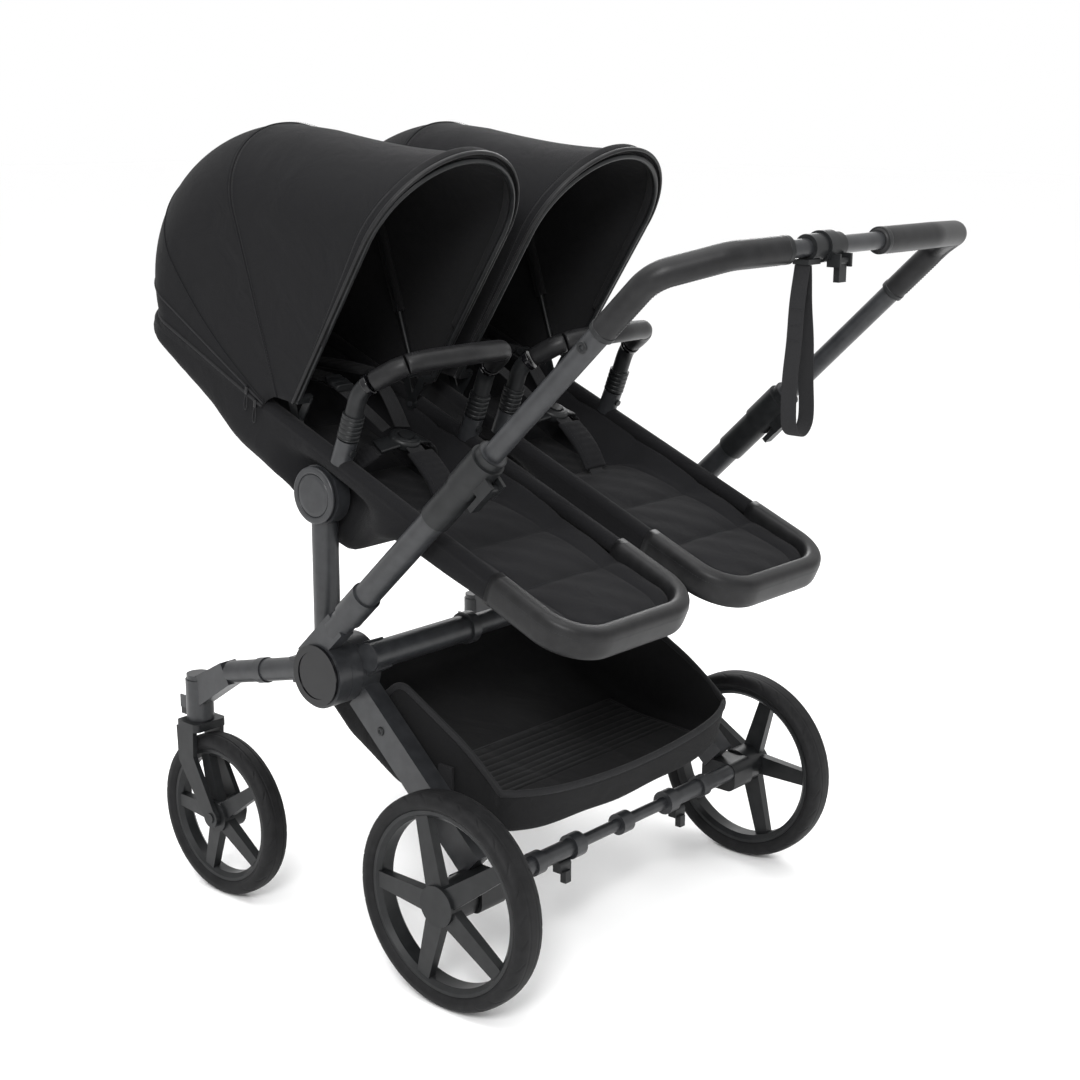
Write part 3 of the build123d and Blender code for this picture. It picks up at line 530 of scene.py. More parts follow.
def canopy_point(side, x, radius, angle):
    """x across, radius from the pin, angle in degrees from the direction of the feet."""
    pin = joints[f"canopy_mid_turn_{side}"]["pos_m"]
    a = np.radians(angle)
    flat = seat_dir(side, x, radius * np.cos(a), radius * np.sin(a))
    return flat + np.array(pin)


def arch(top, rise, foot, half, n=96):
    """x and radius along one bow: straight side, half ellipse, straight side, in even steps of a parameter."""
    t = np.linspace(0, 1, n)
    side = 0.26
    spring = top - rise
    a = np.clip((t - side) / (1 - 2 * side), 0, 1) * np.pi
    climb = np.clip(np.minimum(t, 1 - t) / side, 0, 1)
    x = half * np.cos(a)
    radius = np.where((t < side) | (t > 1 - side), foot + (spring - foot) * climb, spring + rise * np.sin(a))
    return x, radius


def bow_sizes(angle):
    """Crown radius, rise and foot of the cloth at an angle: cubics through four sewn stations."""
    stations = np.array([178.0, 164.0, 148.0, 130.5])
    top = np.polyfit(stations, [0.364, 0.432, 0.452, 0.433], 3)
    rise = np.polyfit(stations, [0.084, 0.112, 0.124, 0.126], 3)
    return np.polyval(top, angle), np.polyval(rise, angle), np.interp(angle, [130.5, 178.0], [0.040, 0.050])


def rear_grid(side, lift=0.0, n=44):
    angles = np.linspace(BACK, MIDDLE, n)
    rows = []
    for angle in angles:
        top, rise, foot = bow_sizes(angle)
        x, radius = arch(top + lift, rise, foot, CANOPY_HALF + lift)
        rows.append(canopy_point(side, x, radius, angle))
    return np.array(rows)


def front_grid(side, lift=0.0, n=40, first=0.0, last=1.0):
    k = np.linspace(first, last, n)[:, None, None]
    top, rise, foot = bow_sizes(MIDDLE)
    a = canopy_point(side, *arch(top + lift, rise, foot, CANOPY_HALF + lift), MIDDLE)
    b = canopy_point(side, *arch(FRONT_BOW[0] + lift, *FRONT_BOW[1:], CANOPY_HALF + lift), FRONT)
    grid = a + (b - a) * k
    pin = canopy_point(side, 0, 0, 0)
    inward = pin - grid
    inward[..., 0] = 0
    reach = np.linalg.norm(inward, axis=-1, keepdims=True)
    crown = np.clip((reach - 0.30) / 0.14, 0, 1)
    return grid + inward / reach * 0.010 * np.sin(np.pi * np.clip(k * 1.25 - 0.25, 0, 1)) * crown


def spanning(piece, side, part):
    """Bake a cloth's place into its mesh; the bodies it spans are looked up, but the cloth is not shared between
    them.
    """
    seat, mid, front = f"seat_{side}", f"canopy_mid_{side}", f"canopy_front_{side}"
    a, b, first, last = {"back": (seat, mid, 172, 134), "top": (mid, front, 127, 86)}[part]
    canopy_point(side, 0, 0.2, first)
    canopy_point(side, 0, 0.2, last)
    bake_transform(piece)


def canopy(side):
    seat, mid, front = f"seat_{side}", f"canopy_mid_{side}", f"canopy_front_{side}"
    pin = canopy_point(side, 0, 0, 0)
    inside = canopy_point(side, 0, 0.2, 125)
    rear = surface(f"canopy_back_{side}", rear_grid(side), None, canvas, inside=inside, thick=0.0016)
    spanning(rear, side, "back")
    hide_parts(f"canopy_rear_{side}")
    cloth_area(rear_grid(side))
    top = surface(f"canopy_top_{side}", front_grid(side), None, canvas, inside=inside, thick=0.0016)
    spanning(top, side, "top")
    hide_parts(f"canopy_front_{side}")
    cloth_area(front_grid(side))
    # The seam over the middle bow is a corded ridge with a row of stitches beside it.
    ridge = canopy_point(side, *arch(*bow_sizes(MIDDLE), CANOPY_HALF, 160), MIDDLE)
    out = ridge - pin
    out[:, 0] *= 2.0
    tube(f"canopy_seam_{side}", mid, canvas, ridge, seat_dir(side, 0, 1, 0.9), 0.0016, 0.0022, 10)
    x, radius = arch(*[v + d for v, d in zip(bow_sizes(MIDDLE - 1.1), (0.0006, 0, 0))], CANOPY_HALF + 0.0006, 160)
    stitches(f"canopy_seam_thread_{side}", canopy_point(side, x, radius, MIDDLE - 1.1), out, mid, thread)
    # The rim is a turned hem, a flat band with two rows of stitches, and a firm edge.
    edge = canopy_point(side, *arch(*FRONT_BOW, CANOPY_HALF, 160), FRONT)
    tube(f"canopy_rim_{side}", front, leatherette, edge, seat_dir(side, 0, 0.2, 1), 0.0034, 0.0028, 12)
    for row, k in enumerate((0.955, 0.93)):
        line = front_grid(side, 0.0007, 1, k, k)[0]
        stitches(f"canopy_hem_thread_{row}_{side}", line, line - pin, front, thread)
    surface(f"canopy_hem_{side}", front_grid(side, 0.0004, 6, 0.94, 1.0), front, canvas, inside=inside,
            thick=0.0022)
    # A zip runs along the rail line round the head end, with a flap over it and two sliders near each pin.
    for k, (angle, size) in enumerate(((177.2, 0.0021), (171.5, 0.0014))):
        line = canopy_point(side, *arch(*bow_sizes(angle), CANOPY_HALF + 0.0004, 160), angle)
        tube(f"canopy_zip_{k}_{side}", seat, web_cloth, line, seat_dir(side, 0, 0, 1), size, size, 10)
    # Below the zip a skirt of the same cloth joins the canopy to the padded rim round the head end.
    upper = canopy_point(side, *arch(*bow_sizes(BACK), CANOPY_HALF, 160), BACK)
    plan = rim_loop(RAIL_X + 0.0118, HEAD_U - 0.0118, FOOT_U, 0.0738)
    lower = seat_xyz(side, plan[:, 0], plan[:, 1], RAIL_V - 0.002)
    nearest = lower[np.argmin(np.linalg.norm(upper[:, None] - lower[None], axis=-1), axis=1)]
    k = np.linspace(0, 1, 9)[:, None, None]
    surface(f"canopy_skirt_{side}", upper + (nearest - upper) * k, seat, canvas, thick=0.0014, inside=inside)
    # A shaped seam crosses the back panel from the crown of the head end down to the pins.
    t = np.linspace(0, 1, 160)
    angle = 152 + 15 * np.abs(np.cos(np.pi * t)) ** 1.6
    line = canopy_point(side, *arch(*bow_sizes(angle), CANOPY_HALF + 0.0004, 160), angle)
    seam = tube(f"canopy_back_seam_{side}", None, canvas, line, seat_dir(side, 0, 0.3, 1), 0.0012, 0.0012, 8)
    spanning(seam, side, "back")


for side in SIDES:
    canopy(side)
print("canopies made")

# %% [markdown]
# The liner is a padded mat sewn into panels. Its height is a soft line from head to foot, plus a puff between
# seams: each panel rises by a half sine to a power, so it is full in the middle and drawn down at its seams.


# %% Seat liners
def liner(side):
    u = np.linspace(-0.428, 0.468, 260)
    floor_v = smooth_line(u, [-.43, -.301, -.192, -.114, -.05, .01, .06, .12, .2, .287, .47],
                          [.062, .035, .004, -.004, 0.002, -0.004, 0.002, .026, .040, .047, .056], 0.03)
    seams = np.array([-0.44, -0.30, -0.16, -0.03, 0.10, 0.235, 0.345, 0.48])
    k = np.clip(np.searchsorted(seams, u) - 1, 0, len(seams) - 2)
    f = (u - seams[k]) / (seams[k + 1] - seams[k])
    puff_u = np.abs(np.sin(np.pi * f)) ** 0.45
    q = np.linspace(-1, 1, 121)
    half = plan_half(u, 0.1135, -0.429, 0.469, 0.05)
    pocket = smooth_line(u, [-.5, -.085, -.06, .09, .115, .6], [1, 1, 0.80, 0.80, 1, 1], 0.012)
    x = q[None, :] * half[:, None]
    edge = np.abs(q)[None, :]
    wing = np.clip((edge - 0.80) / 0.20, 0, 1) ** 1.5
    seam_x = 0.72
    puff_x = np.where(edge < seam_x, np.cos(np.pi / 2 * np.minimum(edge / seam_x, 1)).clip(0) ** 0.35,
                      np.abs(np.sin(np.pi * (edge - seam_x) / (1 - seam_x))) ** 0.6)
    v = floor_v[:, None] + 0.0065 * puff_u[:, None] * puff_x - 0.004 * (1 - puff_u[:, None])
    rise = np.interp(u, [0.20, 0.40], [1.0, 0.35])[:, None]
    v = v + (0.060 - floor_v[:, None]) * wing * rise
    v = v + 0.0010 * np.sin(u[:, None] * 90 + 3 * q[None, :]) * np.sin(q[None, :] * 9)
    x = x * (1 + (pocket[:, None] - 1) * np.clip((0.055 - v) / 0.04, 0, 1))
    points = seat_xyz(side, x, u[:, None], v)
    piece = surface(f"liner_{side}", points, f"seat_{side}", liner_cloth, thick=0.003,
                    inside=seat_xyz(side, 0, 0, -0.5))
    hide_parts(f"seat_liner_{side}")
    for k, at in enumerate(seams[1:-1]):
        near = int(np.argmin(np.abs(u - at)))
        row = points[near, 10:-10]
        stitches(f"liner_thread_{k}_{side}", row + 0.0004 * seat_dir(side, 0, 0, 1), seat_dir(side, 0, 0, 1),
                 f"seat_{side}", thread, half=FINE)


for side in SIDES:
    liner(side)
print("liners made")

# %% [markdown]
# Tyres are one closed profile turned about the axle. The tread is cut into that profile by a function of the angle
# round the wheel and the place across it: two fine rings, and swept slots over each shoulder.


# %% Tyres
def filleted(points, radii, step=0.004):
    """A run of straight lines whose corners are arcs: the tangent length at a corner is r * tan(turn / 2)."""
    points = np.asarray(points, float)
    path = [points[:1]]
    for before, corner, after, r in zip(points[:-2], points[1:-1], points[2:], radii):
        a, b = unit(before - corner), unit(after - corner)
        half = np.arccos(np.clip(-a @ b, -1, 1)) / 2
        centre = corner + unit(a + b) * r / np.cos(half)
        first = corner + a * r * np.tan(half) - centre
        second = corner + b * r * np.tan(half) - centre
        t = np.linspace(0, 1, max(4, int(2 * half * r / step) + 2))[:, None]
        path.append(centre + (np.sin((1 - t) * 2 * half) * first + np.sin(t * 2 * half) * second) / np.sin(2 * half))
    path = np.concatenate(path + [points[-1:]])
    run = lengths(path[:, None], 0)[:, 0]
    return resampled(path, np.linspace(0, run[-1], int(run[-1] / step) + 2), run)


def tyre(side, kind, radius, width, around):
    """r(q, a) = profile(q) less the tread depth, where q runs round the section and a round the wheel."""
    half, inner = width / 2, radius - 0.023
    t = np.linspace(-1, 1, 41)
    crown = np.stack([half * np.sin(t * 1.45) / np.sin(1.45), radius - 0.011 * np.abs(t) ** 2.6], -1)
    lower = np.array([(half, inner + 0.008), (half - 0.0035, inner + 0.0025), (half - 0.006, inner + 0.0002),
                      (0, inner + 0.0002), (0.006 - half, inner + 0.0002), (0.0035 - half, inner + 0.0025),
                      (-half, inner + 0.008)])
    outline = np.concatenate([crown, lower])
    x, r = even_profile(outline[:, 0], outline[:, 1], 88)
    a = circle(around)
    place = np.abs(x)[None, :] / half
    top = (r > radius - 0.0125)[None, :]
    blocks = round(2 * np.pi * radius / 0.036)
    slot = np.abs((a * blocks / (2 * np.pi) + 0.9 * place ** 1.5 + 0.25 * np.sign(x)[None, :]) % 1 - 0.5)
    cut = np.clip((0.055 - slot) / 0.03, 0, 1) * np.clip((place - 0.5) / 0.08, 0, 1)
    ring = np.clip((0.035 - np.abs(place - 0.34)) / 0.02, 0, 1)
    fine = np.clip((0.018 - np.abs(place - 0.985)) / 0.01, 0, 1) * 0.5
    depth = np.where(top, 0.0012 * np.maximum(np.maximum(cut, ring), fine), 0)
    radial = r[None, :] - depth
    centre = np.array(joints[f"{kind}_wheel_{side}_spin"]["pos_m"])
    piece = surface(f"tyre_{kind}_{side}", turned(centre, x, radial, a), f"{kind}_wheel_{side}", rubber,
                    wrap_u=True, wrap_v=True, inside=centre)
    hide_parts(f"{kind}_tyre_{side}")


for side in SIDES:
    tyre(side, "rear", 0.1524, 0.046, 720)
    tyre(side, "front", 0.1273, 0.040, 600)
print("tyres made")

# %% [markdown]
# The bumper bar is a tube on two pegs. Its legs are bare nylon with a ribbed collar, and the part in front of the
# child is wrapped in leatherette, closed by a seam underneath with a row of stitches on each side.


# %% Bumper bars
def between(path, first, last):
    """The part of an even path from one fraction of its length to another."""
    at = np.linspace(first, last, max(6, int(len(path) * (last - first))))
    return resampled(path, at, np.linspace(0, 1, len(path)))


LEG_R, RING_R = 0.0128, 0.0149


def bumper(side):
    body = f"bumper_bar_{side}"
    half = np.array([(0.127, 0.019, 0.1003), (0.127, 0.016, 0.176), (0.098, 0.058, 0.235), (0, 0.075, 0.247)])
    corners = np.concatenate([half, half[-2::-1] * np.array([-1, 1, 1])])
    path = seat_xyz(side, *filleted(corners, [0.044, 0.044, 0.150, 0.044, 0.044], 0.0025).T)
    ref = seat_dir(side, 0, 1, 0.15)
    legs = [(0.0, 0.185), (0.815, 1.0)]
    for k, (a, b) in enumerate(legs):
        leg = tube(f"bumper_leg_{k}_{side}", body, nylon, between(path, a, b), ref, LEG_R, LEG_R, 28)
        if k == 0:
            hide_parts(f"bumper_bar_{side}")
        foot = between(path, 0.004, 0.075) if k == 0 else between(path, 0.925, 0.996)
        t = np.linspace(0, 1, 60)
        foot = resampled(foot, t, np.linspace(0, 1, len(foot)))
        rib = 0.0150 - 0.0009 * (np.sin(t * 2 * np.pi * 5) > 0.55)
        tube(f"bumper_collar_{k}_{side}", body, nylon, foot, ref, rib, rib, 36, 0.85)
        ring = between(path, 0.170, 0.186) if k == 0 else between(path, 0.814, 0.830)
        tube(f"bumper_ring_{k}_{side}", body, gloss_cap, ring, ref, RING_R, RING_R, 36)
        pad = between(path, 0.196, 0.300) if k == 0 else between(path, 0.700, 0.804)
        t = np.linspace(0, 1, len(pad))
        puff = 0.0138 + 0.0012 * np.sin(np.pi * t) ** 0.5
        tube(f"bumper_cuff_{k}_{side}", body, leatherette, pad, ref, puff, puff, 36)
    grip = between(path, 0.304, 0.696)
    t = np.linspace(0, 1, len(grip))
    puff = 0.0140 + 0.0010 * np.sin(np.pi * t) ** 0.3
    tube(f"bumper_grip_{side}", body, leatherette, grip, ref, puff, puff, 40)
    sides, ups = frames(grip, ref)
    for k, turn in enumerate((-0.10, 0.10)):
        lean = -sides * np.cos(turn) + ups * np.sin(turn)
        stitches(f"bumper_thread_{k}_{side}", grip + lean * (puff[:, None] - 0.0001), lean, body, thread,
                 half=FINE)


for side in SIDES:
    bumper(side)
print("bumper bars made")

# %% [markdown]
# The handlebar's two grips follow the same bent path as the tube inside them. They are leatherette too: rounded
# shut at each end, with a stitched seam along the underside. The wrist strap is a ribbon that hangs in a loop.


# %% Grips and wrist strap
def tube_point(x, s):
    """A point on the handle's own straight line, s along it, found from the way the upper handle slides."""
    at, way = np.array(joints["handle_height"]["pos_m"]), np.array(joints["handle_height"]["axis"])
    return at + np.array([x, 0, 0]) + way * (s - 0.720)


GRIP_END_R = 0.0172


def handle_parts():
    bar_y, bar_z = joints["brake_squeeze"]["pos_m"][1] - 0.020, joints["brake_squeeze"]["pos_m"][2] + 0.017
    hand = joints["caster_swivel_left"]["pos_m"][0] + 0.019
    half = np.array([tube_point(hand, 0.712), tube_point(hand, 0.815), (hand - 0.068, bar_y - 0.026, bar_z - 0.004),
                     (0.150, bar_y, bar_z)])
    corners = np.concatenate([half, half[::-1] * np.array([-1, 1, 1])])
    path = filleted(corners, [0.044, 0.040, 0.110, 0.110, 0.040, 0.044], 0.003)
    ref = np.array([0.02, -0.25, 1.0])
    for name, part in (("near", path[path[:, 0] > 0.173]), ("far", path[path[:, 0] < -0.014])):
        t = np.linspace(0, 1, len(part))
        inner = t if name == "near" else 1 - t
        end = np.minimum(t, 1 - t) * 40
        round_off = np.sqrt(np.clip(1 - (1 - np.clip(end, 0, 1)) ** 2, 0, 1))
        size = 0.0128 + 0.0042 * round_off
        low = np.clip((0.42 - inner) / 0.1, 0, 1)
        grid = sweep(part, ref, size, size - 0.0006 * low, 44)
        piece = surface(f"grip_{name}", capped(grid), "handle_upper", leatherette, wrap_v=True)
        if name == "near":
            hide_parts("handle_grips")
        sides, ups = frames(part, ref)
        for k, turn in enumerate((-0.09, 0.09)):
            lean = -ups * np.cos(turn) + sides * np.sin(turn)
            row = part + lean * (size[:, None] - 0.0003)
            stitches(f"grip_thread_{name}_{k}", row[6:-6], lean[6:-6], "handle_upper", thread, half=0.0005)
        for k, index in enumerate((2, -3)):
            ahead = unit(part[index + 1] - part[index - 1])
            band = part[index] + np.linspace(-0.0035, 0.0035, 7)[:, None] * ahead
            tube(f"grip_end_{name}_{k}", "handle_upper", nylon, band, ref, GRIP_END_R, GRIP_END_R, 44)
    loop = np.array([(0.1525, bar_z - 0.0195), (0.158, 0.975), (0.167, 0.900), (0.1715, 0.835), (0.167, 0.815),
                     (0.151, 0.8055), (0.135, 0.815), (0.1305, 0.835), (0.136, 0.900), (0.1445, 0.975),
                     (0.1495, bar_z - 0.0195)])
    way = rounded(np.stack([loop[:, 0], np.full(len(loop), bar_y), loop[:, 1]], -1), 3)
    way = way + np.array([0, 0.0006, 0]) * np.sin(way[:, 2:] * 70)
    strap = tube("wrist_ribbon", "handle_upper", web_cloth, way, (0, 1.0, 0), 0.0010, 0.0108, 20, 0.5)
    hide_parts("wrist_strap")
    for k, (z, x) in enumerate(((0.958, 0.1603), (0.940, 0.1625), (0.922, 0.1647))):
        tack = np.stack(np.broadcast_arrays(x + 0.0012, bar_y + np.linspace(-0.009, 0.009, 12), z), -1)
        stitches(f"ribbon_tack_{k}", tack, np.array([1.0, 0, 0]), "handle_upper", thread, 0.003, 0.0024, 0.0004)


handle_parts()
print("grips and strap made")

# %% [markdown]
# The basket is one big cloth tray hung between the legs. A floor line runs from the front lip, down and back to the
# rear lip; a top line joins the same two lips over the side. At each station the cloth goes down one side, round a
# soft corner, across the floor with a little sag, and up the other side.


# %% Shopping basket
BASKET_HALF = 0.2605


def basket_lines(n):
    """Matching stations along the floor line and the top line, in y and z from the rear axle."""
    floor_line = np.array([(-.330, .391), (-.341, .336), (-.292, .291), (-.189, .241), (-.120, .229), (.031, .223),
                           (.045, .283)])
    top_line = np.array([(-.330, .391), (-.307, .373), (-.256, .359), (-.205, .373), (-.176, .401), (-.066, .343),
                         (.045, .283)])
    def eased(line, span=0.05):
        run = lengths(line[:, None], 0)[:, 0]
        t = ends_close(0, 1, n)
        blur = np.linspace(-span, span, 31)
        shrink = np.minimum(1, np.minimum(t, 1 - t) / span)[:, None]
        at = np.clip(t[:, None] + blur * shrink, 0, 1) * run[-1]
        return np.stack([np.interp(at, run, line[:, k]).mean(axis=1) for k in range(2)], -1)
    return eased(floor_line, 0.022), eased(top_line)


def basket_sag(points, axle_y):
    """Near the rear lip the cloth sags by 22 mm * cos(pi x / 2 half), and its corners are drawn forward."""
    x = points[..., 0] / BASKET_HALF
    near = np.clip((points[..., 1] - axle_y + 0.07) / 0.115, 0, 1) ** 1.5
    drop = -0.022 * near * np.cos(np.pi / 2 * np.clip(x, -1, 1))
    return points + np.stack([0 * x, -0.030 * near * np.abs(x) ** 6, drop], -1)


def basket():
    n = 110
    low, high = basket_lines(n)
    axle = joints["rear_wheel_left_spin"]["pos_m"]
    low, high = low + np.array([axle[1], 0]), high + np.array([axle[1], 0])
    q = np.linspace(0, 1, 141)[None, :]
    tall = np.linalg.norm(high - low, axis=1)[:, None]
    soft = np.minimum(0.022, 0.45 * tall + 1e-5)
    half = BASKET_HALF - 0.004 * np.sin(np.pi * np.clip(tall / 0.17, 0, 1))
    x, straight, curved = u_section(q, half, tall, soft)
    k = np.clip((straight + curved) / np.maximum(tall, 1e-6), 0, 1)[..., None]
    pull = high[:, None] * (1 - k) + low[:, None] * k
    x = np.where(q < 0.5, -x, x)
    inner = np.clip(1 - np.abs(x) / BASKET_HALF, 0, 1)
    wave = 0.0016 * np.sin(x * 38 + 5 * pull[..., 0]) * np.sin(pull[..., 0] * 31) * (k[..., 0] > 0.6)
    up = wave + 0.003 * inner
    points = basket_sag(np.stack([x, pull[..., 0], pull[..., 1] + up], -1), axle[1])
    bag = surface("basket_bag", points, "chassis", bag_cloth, thick=0.0018, offset=1.0,
                  inside=(0, axle[1] - 0.15, 0.9))
    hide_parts("shopping_basket")
    # The rim is bound with webbing, and a firm floor panel is quilted in bars.
    left = np.stack([np.full(n, BASKET_HALF - 0.0005), high[:, 0], high[:, 1]], -1)
    across = np.linspace(1, -1, 30)[1:-1, None] * np.array([BASKET_HALF, 0, 0])
    back, front = left[-1] * np.array([0, 1, 1]), left[0] * np.array([0, 1, 1])
    loop = np.concatenate([left, back + across, left[::-1] * np.array([-1, 1, 1]), front - across])
    loop = basket_sag(loop, axle[1])
    keep = np.linalg.norm(loop - np.roll(loop, 1, 0), axis=1) > 0.0004
    surface("basket_binding", sweep(loop[keep], (0.0, -0.4, 0.9), 0.0034, 0.0050, 16, 0.7, loop=True), "chassis",
            web_cloth, wrap_u=True, wrap_v=True)
    a = np.linspace(0, 1, 170)[:, None]
    b = np.linspace(-1, 1, 120)[None, :]
    y = -0.186 + 0.205 * a
    base = np.interp(y, low[:, 0] - axle[1], low[:, 1]) + 0.0075
    split = 0.62
    flat = 0.9 * (a >= split) * np.clip(np.abs(a - split) / 0.01, 0, 1)
    bars = np.abs(np.sin(np.pi * 14 * a)) ** 0.4 * (a < split) + flat
    rows = np.abs(np.sin(np.pi * 3.0 * (b + 1) / 2)) ** 0.25
    lift = 0.0030 * bars * rows * np.clip((1 - np.abs(b)) / 0.03, 0, 1)
    panel = basket_sag(np.stack(np.broadcast_arrays(0.226 * b, axle[1] + y, base + lift), -1), axle[1])
    surface("basket_floor_panel", panel, "chassis", bag_cloth, thick=0.002, inside=(0, axle[1] - 0.1, 0.0))
    edge = np.concatenate([panel[0], panel[1:-1, -1], panel[-1, ::-1], panel[-2:0:-1, 0]])
    surface("basket_floor_piping", sweep(edge[::2], (0, 0.2, 1), 0.0024, 0.0024, 10, loop=True), "chassis",
            web_cloth, wrap_u=True, wrap_v=True)
    for k, offset in enumerate((0.007, 0.011)):
        hem = np.stack(np.broadcast_arrays(np.linspace(-0.25, 0.25, 200), high[-1, 0] + 0.0012 - offset * 0.28,
                                           high[-1, 1] - offset), -1)
        hem = basket_sag(hem, axle[1])
        stitches(f"basket_hem_thread_{k}", hem, np.array([0, 1.0, 0.1]), "chassis", thread)


basket()
print("basket made")

# %% [markdown]
# Each harness has two padded shoulder straps, two hip straps and a padded crotch strap, which meet at a round
# buckle. Webbing is a flat ribbon swept along a curve; a pad is a fuller ribbon, puffed between its stitch lines.


# %% Harnesses
def ribbon(name, side, knots, wide, deep, finish, power=0.5, n=90, puff=0.0):
    """A strap through knots in seat coordinates; deep grows by puff along its middle."""
    path = rounded(knots, 4)
    run = lengths(path[:, None], 0)[:, 0]
    path = resampled(path, np.linspace(0, run[-1], n), run)
    t = np.linspace(0, 1, n)
    full = deep + puff * np.abs(np.sin(np.pi * t)) ** 0.4 * (1 + 0.10 * np.sin(t * 50))
    path = seat_xyz(side, *path.T)
    piece = tube(name, f"seat_{side}", finish, path, seat_dir(side, 0, 0, 1), wide, full, 28, power)
    return piece, path


def harness(side):
    seat = f"seat_{side}"
    for hand, end in ((-1, "right"), (1, "left")):
        tag = f"{end}_{side}"
        strap, _ = ribbon(f"shoulder_strap_{tag}", side, [(hand * .044, -.300, .0365), (hand * .043, -.20, .078),
                          (hand * .042, -.110, .1085), (hand * .030, -.06, .096), (hand * .016, -.014, .0795)],
                          0.0125, 0.0010, web_cloth)
        if hand > 0:
            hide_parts(f"harness_{side}")
        pad, line = ribbon(f"shoulder_pad_{tag}", side, [(hand * .044, -.285, .0455), (hand * .043, -.20, .0815),
                           (hand * .042, -.124, .1075)], 0.0225, 0.0022, liner_cloth, 0.7, 90, 0.0036)
        out = unit(seat_dir(side, 0, -0.4, 1))
        for k, shift in enumerate((-0.017, 0.017)):
            row = line[4:-4] + seat_dir(side, shift, 0, 0) + out * 0.0048
            stitches(f"pad_thread_{k}_{tag}", row, out, seat, thread, half=FINE)
        ribbon(f"hip_strap_{tag}", side, [(hand * .089, -.008, .003), (hand * .076, -.005, .030),
               (hand * .060, 0, .052), (hand * .036, .006, .064), (hand * .020, .010, .0725)], 0.0125, 0.0010,
               web_cloth)
        ribbon(f"hip_pad_{tag}", side, [(hand * .084, -.007, .016), (hand * .070, -.003, .044),
               (hand * .050, .003, .0605)], 0.0190, 0.0020, liner_cloth, 0.7, 60, 0.0030)
        # Each adjuster is a moulded frame with two slots that the strap is threaded through.
        for k, (at, v, size) in enumerate(((-.103, .1115, .0170), (-.258, .0600, .0150))):
            t = np.linspace(-1, 1, 25)
            body = np.stack([np.full(25, hand * .042), at + 0.015 * t, np.full(25, v) + 0.022 * t * (k == 1)], -1)
            wide = size * (1 - 0.10 * np.abs(t) ** 3)
            deep = 0.0040 + 0.0012 * (np.abs(np.abs(t) - 0.55) > 0.22)
            tube(f"adjuster_{k}_{tag}", seat, nylon, seat_xyz(side, *body.T), seat_dir(side, 0, 0, 1), wide, deep,
                 28, 0.45)
        tongue = [(hand * .046, .004, .0655), (hand * .030, .008, .0715), (hand * .019, .010, .0745)]
        ribbon(f"buckle_tongue_{tag}", side, tongue, 0.0150, 0.0026, nylon, 0.45, 30)
    ribbon(f"crotch_strap_{side}", side, [(0, .130, .0275), (0, .104, .046), (0, .078, .0605), (0, .050, .0690),
           (0, .030, .0740)], 0.0150, 0.0011, web_cloth)
    pad, line = ribbon(f"crotch_pad_{side}", side, [(0, .120, .036), (0, .094, .0555), (0, .066, .0670),
                       (0, .044, .0735)], 0.0245, 0.0024, liner_cloth, 0.7, 70, 0.0036)
    out = unit(seat_dir(side, 0, 0.5, 1))
    for k, shift in enumerate((-0.019, 0.019)):
        stitches(f"crotch_thread_{k}_{side}", line[4:-4] + seat_dir(side, shift, 0, 0) + out * 0.0048, out, seat,
                 thread, half=FINE)
    # The buckle is a profile turned about its own axis: a domed lid with a groove, a stepped edge and a well.
    r = np.array([.0001, .0106, .0112, .0114, .0122, .0150, .0178, .0186, .0194, .0222, .0236, .0240, .0238, .0222,
                  .0001])
    h = np.array([.0020, .0020, .0030, .0066, .0078, .0084, .0080, .0070, .0074, .0062, .0040, .0010, -.0050, -.0074,
                  -.0078])
    r, h = even_profile(r, h, 60)
    a = circle(96)
    notch = 1 - 0.028 * (np.cos(3 * a) ** 40) * (r[None, :] > 0.017)
    points = seat_xyz(side, r * notch * np.cos(a), 0.010 + r * notch * np.sin(a), 0.074 + h)
    surface(f"buckle_{side}", points, seat, nylon, wrap_u=True)


for side in SIDES:
    harness(side)
print("harnesses made")

# %% [markdown]
# The last sewn pieces: a dark lining inside each canopy, two ribs that show as raised bands from inside, and two
# zip pulls with cord loops beside each near pin.


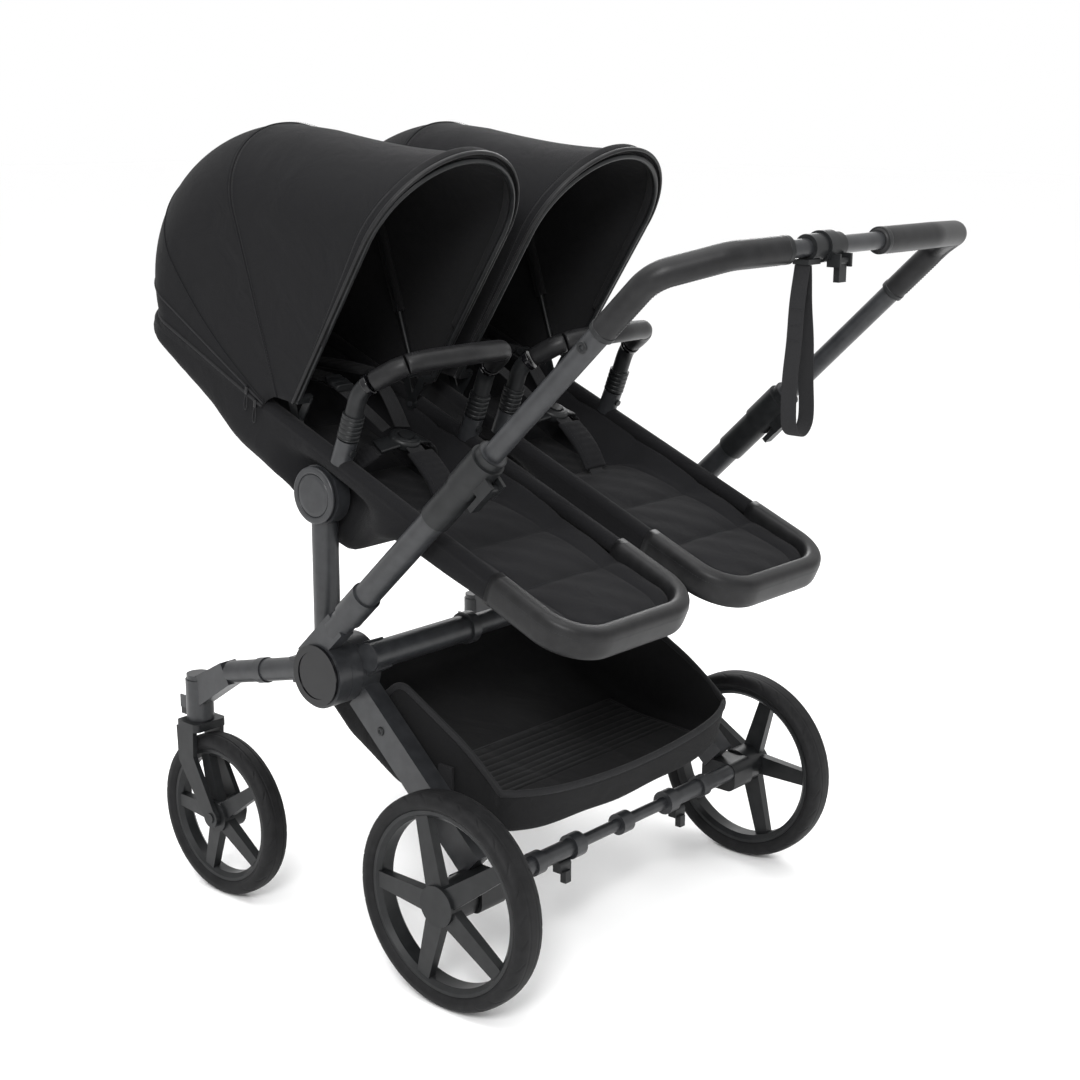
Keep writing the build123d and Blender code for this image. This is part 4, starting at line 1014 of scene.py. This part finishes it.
# %% Linings, ribs and zip pulls
def canopy_inside(side):
    seat, mid, front = f"seat_{side}", f"canopy_mid_{side}", f"canopy_front_{side}"
    centre = canopy_point(side, 0, 0.2, 125)
    for name, grid in (("back", rear_grid(side, -0.0026)), ("top", front_grid(side, -0.0026, 40, 0.0, 0.95))):
        sheet = surface(f"canopy_lining_{name}_{side}", grid, None, lining, inside=centre)
        spanning(sheet, side, name)
    for k, (angle, body, wide) in enumerate(((MIDDLE, mid, 0.011), (FRONT + 1.6, front, 0.008))):
        sizes = bow_sizes(MIDDLE) if body == mid else FRONT_BOW
        x, radius = arch(sizes[0] - 0.0065, sizes[1], sizes[2], CANOPY_HALF - 0.0065, 140)
        line = canopy_point(side, x, radius, angle)
        ref = line - canopy_point(side, 0, 0, 0)
        tube(f"canopy_rib_{k}_{side}", body, lining, line[14:-14], ref[14:-14], wide, 0.0044, 24, 0.8)
    hand = 1 if side == "left" else -1
    for k, (angle, radius) in enumerate(((174.0, 0.064), (170.0, 0.088))):
        top = canopy_point(side, hand * (CANOPY_HALF + 0.0022), radius, angle)
        down = seat_dir(side, 0, 0.25, -1.0)
        t = np.linspace(0, 1, 14)[:, None]
        run = top + t * down * 0.011
        tube(f"zip_slider_{k}_{side}", seat, gloss_cap, run, (1.0, 0, 0), 0.0030, 0.0016, 20, 0.6)
        a = circle(60)
        mid_loop = top + down * 0.021
        ahead = seat_dir(side, 0, 1.0, 0.25)
        loop = mid_loop + np.cos(a) * down * 0.0125 + np.sin(a) * ahead * (0.0028 + 0.0012 * np.cos(a))
        surface(f"zip_cord_{k}_{side}", sweep(loop, (1.0, 0, 0), 0.0009, 0.0009, 10, loop=True), seat, web_cloth,
                wrap_u=True, wrap_v=True)


for side in SIDES:
    canopy_inside(side)
print("linings made")

# %% [markdown]
# Small moulded caps close the screw holes: one on the outside of each handle elbow, and one high on each rear leg.
# Each is a low dome with a chamfered edge and a hexagon well, turned about the X axis.


# %% Screw caps
BEHIND = 0.02  # a point this far behind a cap counts as its inside


def screw_cap(name, centre, hand, radius, body):
    """A turned profile (r, h) pointing outwards along X; its well is a circle drawn in to six flats."""
    r = radius * np.array([1.0, 1.0, 0.93, 0.72, 0.50, 0.46, 0.44, 0.0001])
    h = radius * np.array([-0.10, 0.16, 0.24, 0.30, 0.31, 0.26, -0.06, -0.06])
    a = circle(72)
    flat = np.cos(np.pi / 6) / np.cos((a + np.pi / 6) % (np.pi / 3) - np.pi / 6)
    reach = np.where(r[None, :] < 0.47 * radius, r * flat, r * np.ones_like(a))
    surface(name, turned(centre, hand * h, reach, a), body, nylon, wrap_u=True,
            inside=np.array(centre) - (hand * BEHIND, 0, 0))


def tilt_cover(side, hand):
    """The round cover over a seat pivot: a flat face inside a groove, a raised ring, and a rounded edge."""
    face = hand * max(corner[0] for corner in bpy.data.objects["seat_uprights"].bound_box)
    r = np.array([.0410, .0410, .0400, .0380, .0330, .0318, .0312, .0306, .0296, .0250, .0001])
    h = np.array([-.0010, .0012, .0024, .0030, .0031, .0026, .0008, .0008, .0024, .0030, .0033])
    r, h = even_profile(r, h, 70)
    a = circle(128)
    centre = np.array(joints[f"seat_tilt_{side}"]["pos_m"]) * (0, 1, 1) + np.array([face, 0, 0])
    surface(f"tilt_cover_{side}", turned(centre, hand * h, r, a), "chassis", powder_coat, wrap_u=True,
            inside=centre - (hand * BEHIND, 0, 0))


axle = np.array(joints["rear_wheel_left_spin"]["pos_m"])
for side, hand in (("left", 1), ("right", -1)):
    tilt_cover(side, hand)
    elbow = tube_point(hand * (joints["caster_swivel_left"]["pos_m"][0] + 0.019 + 0.0137), 0.690)
    screw_cap(f"elbow_cap_{side}", elbow, hand, 0.0075, "handle_upper")
    screw_cap(f"leg_cap_{side}", (hand * 0.2975, axle[1] - 0.178, axle[2] + 0.184), hand, 0.0065, "chassis")
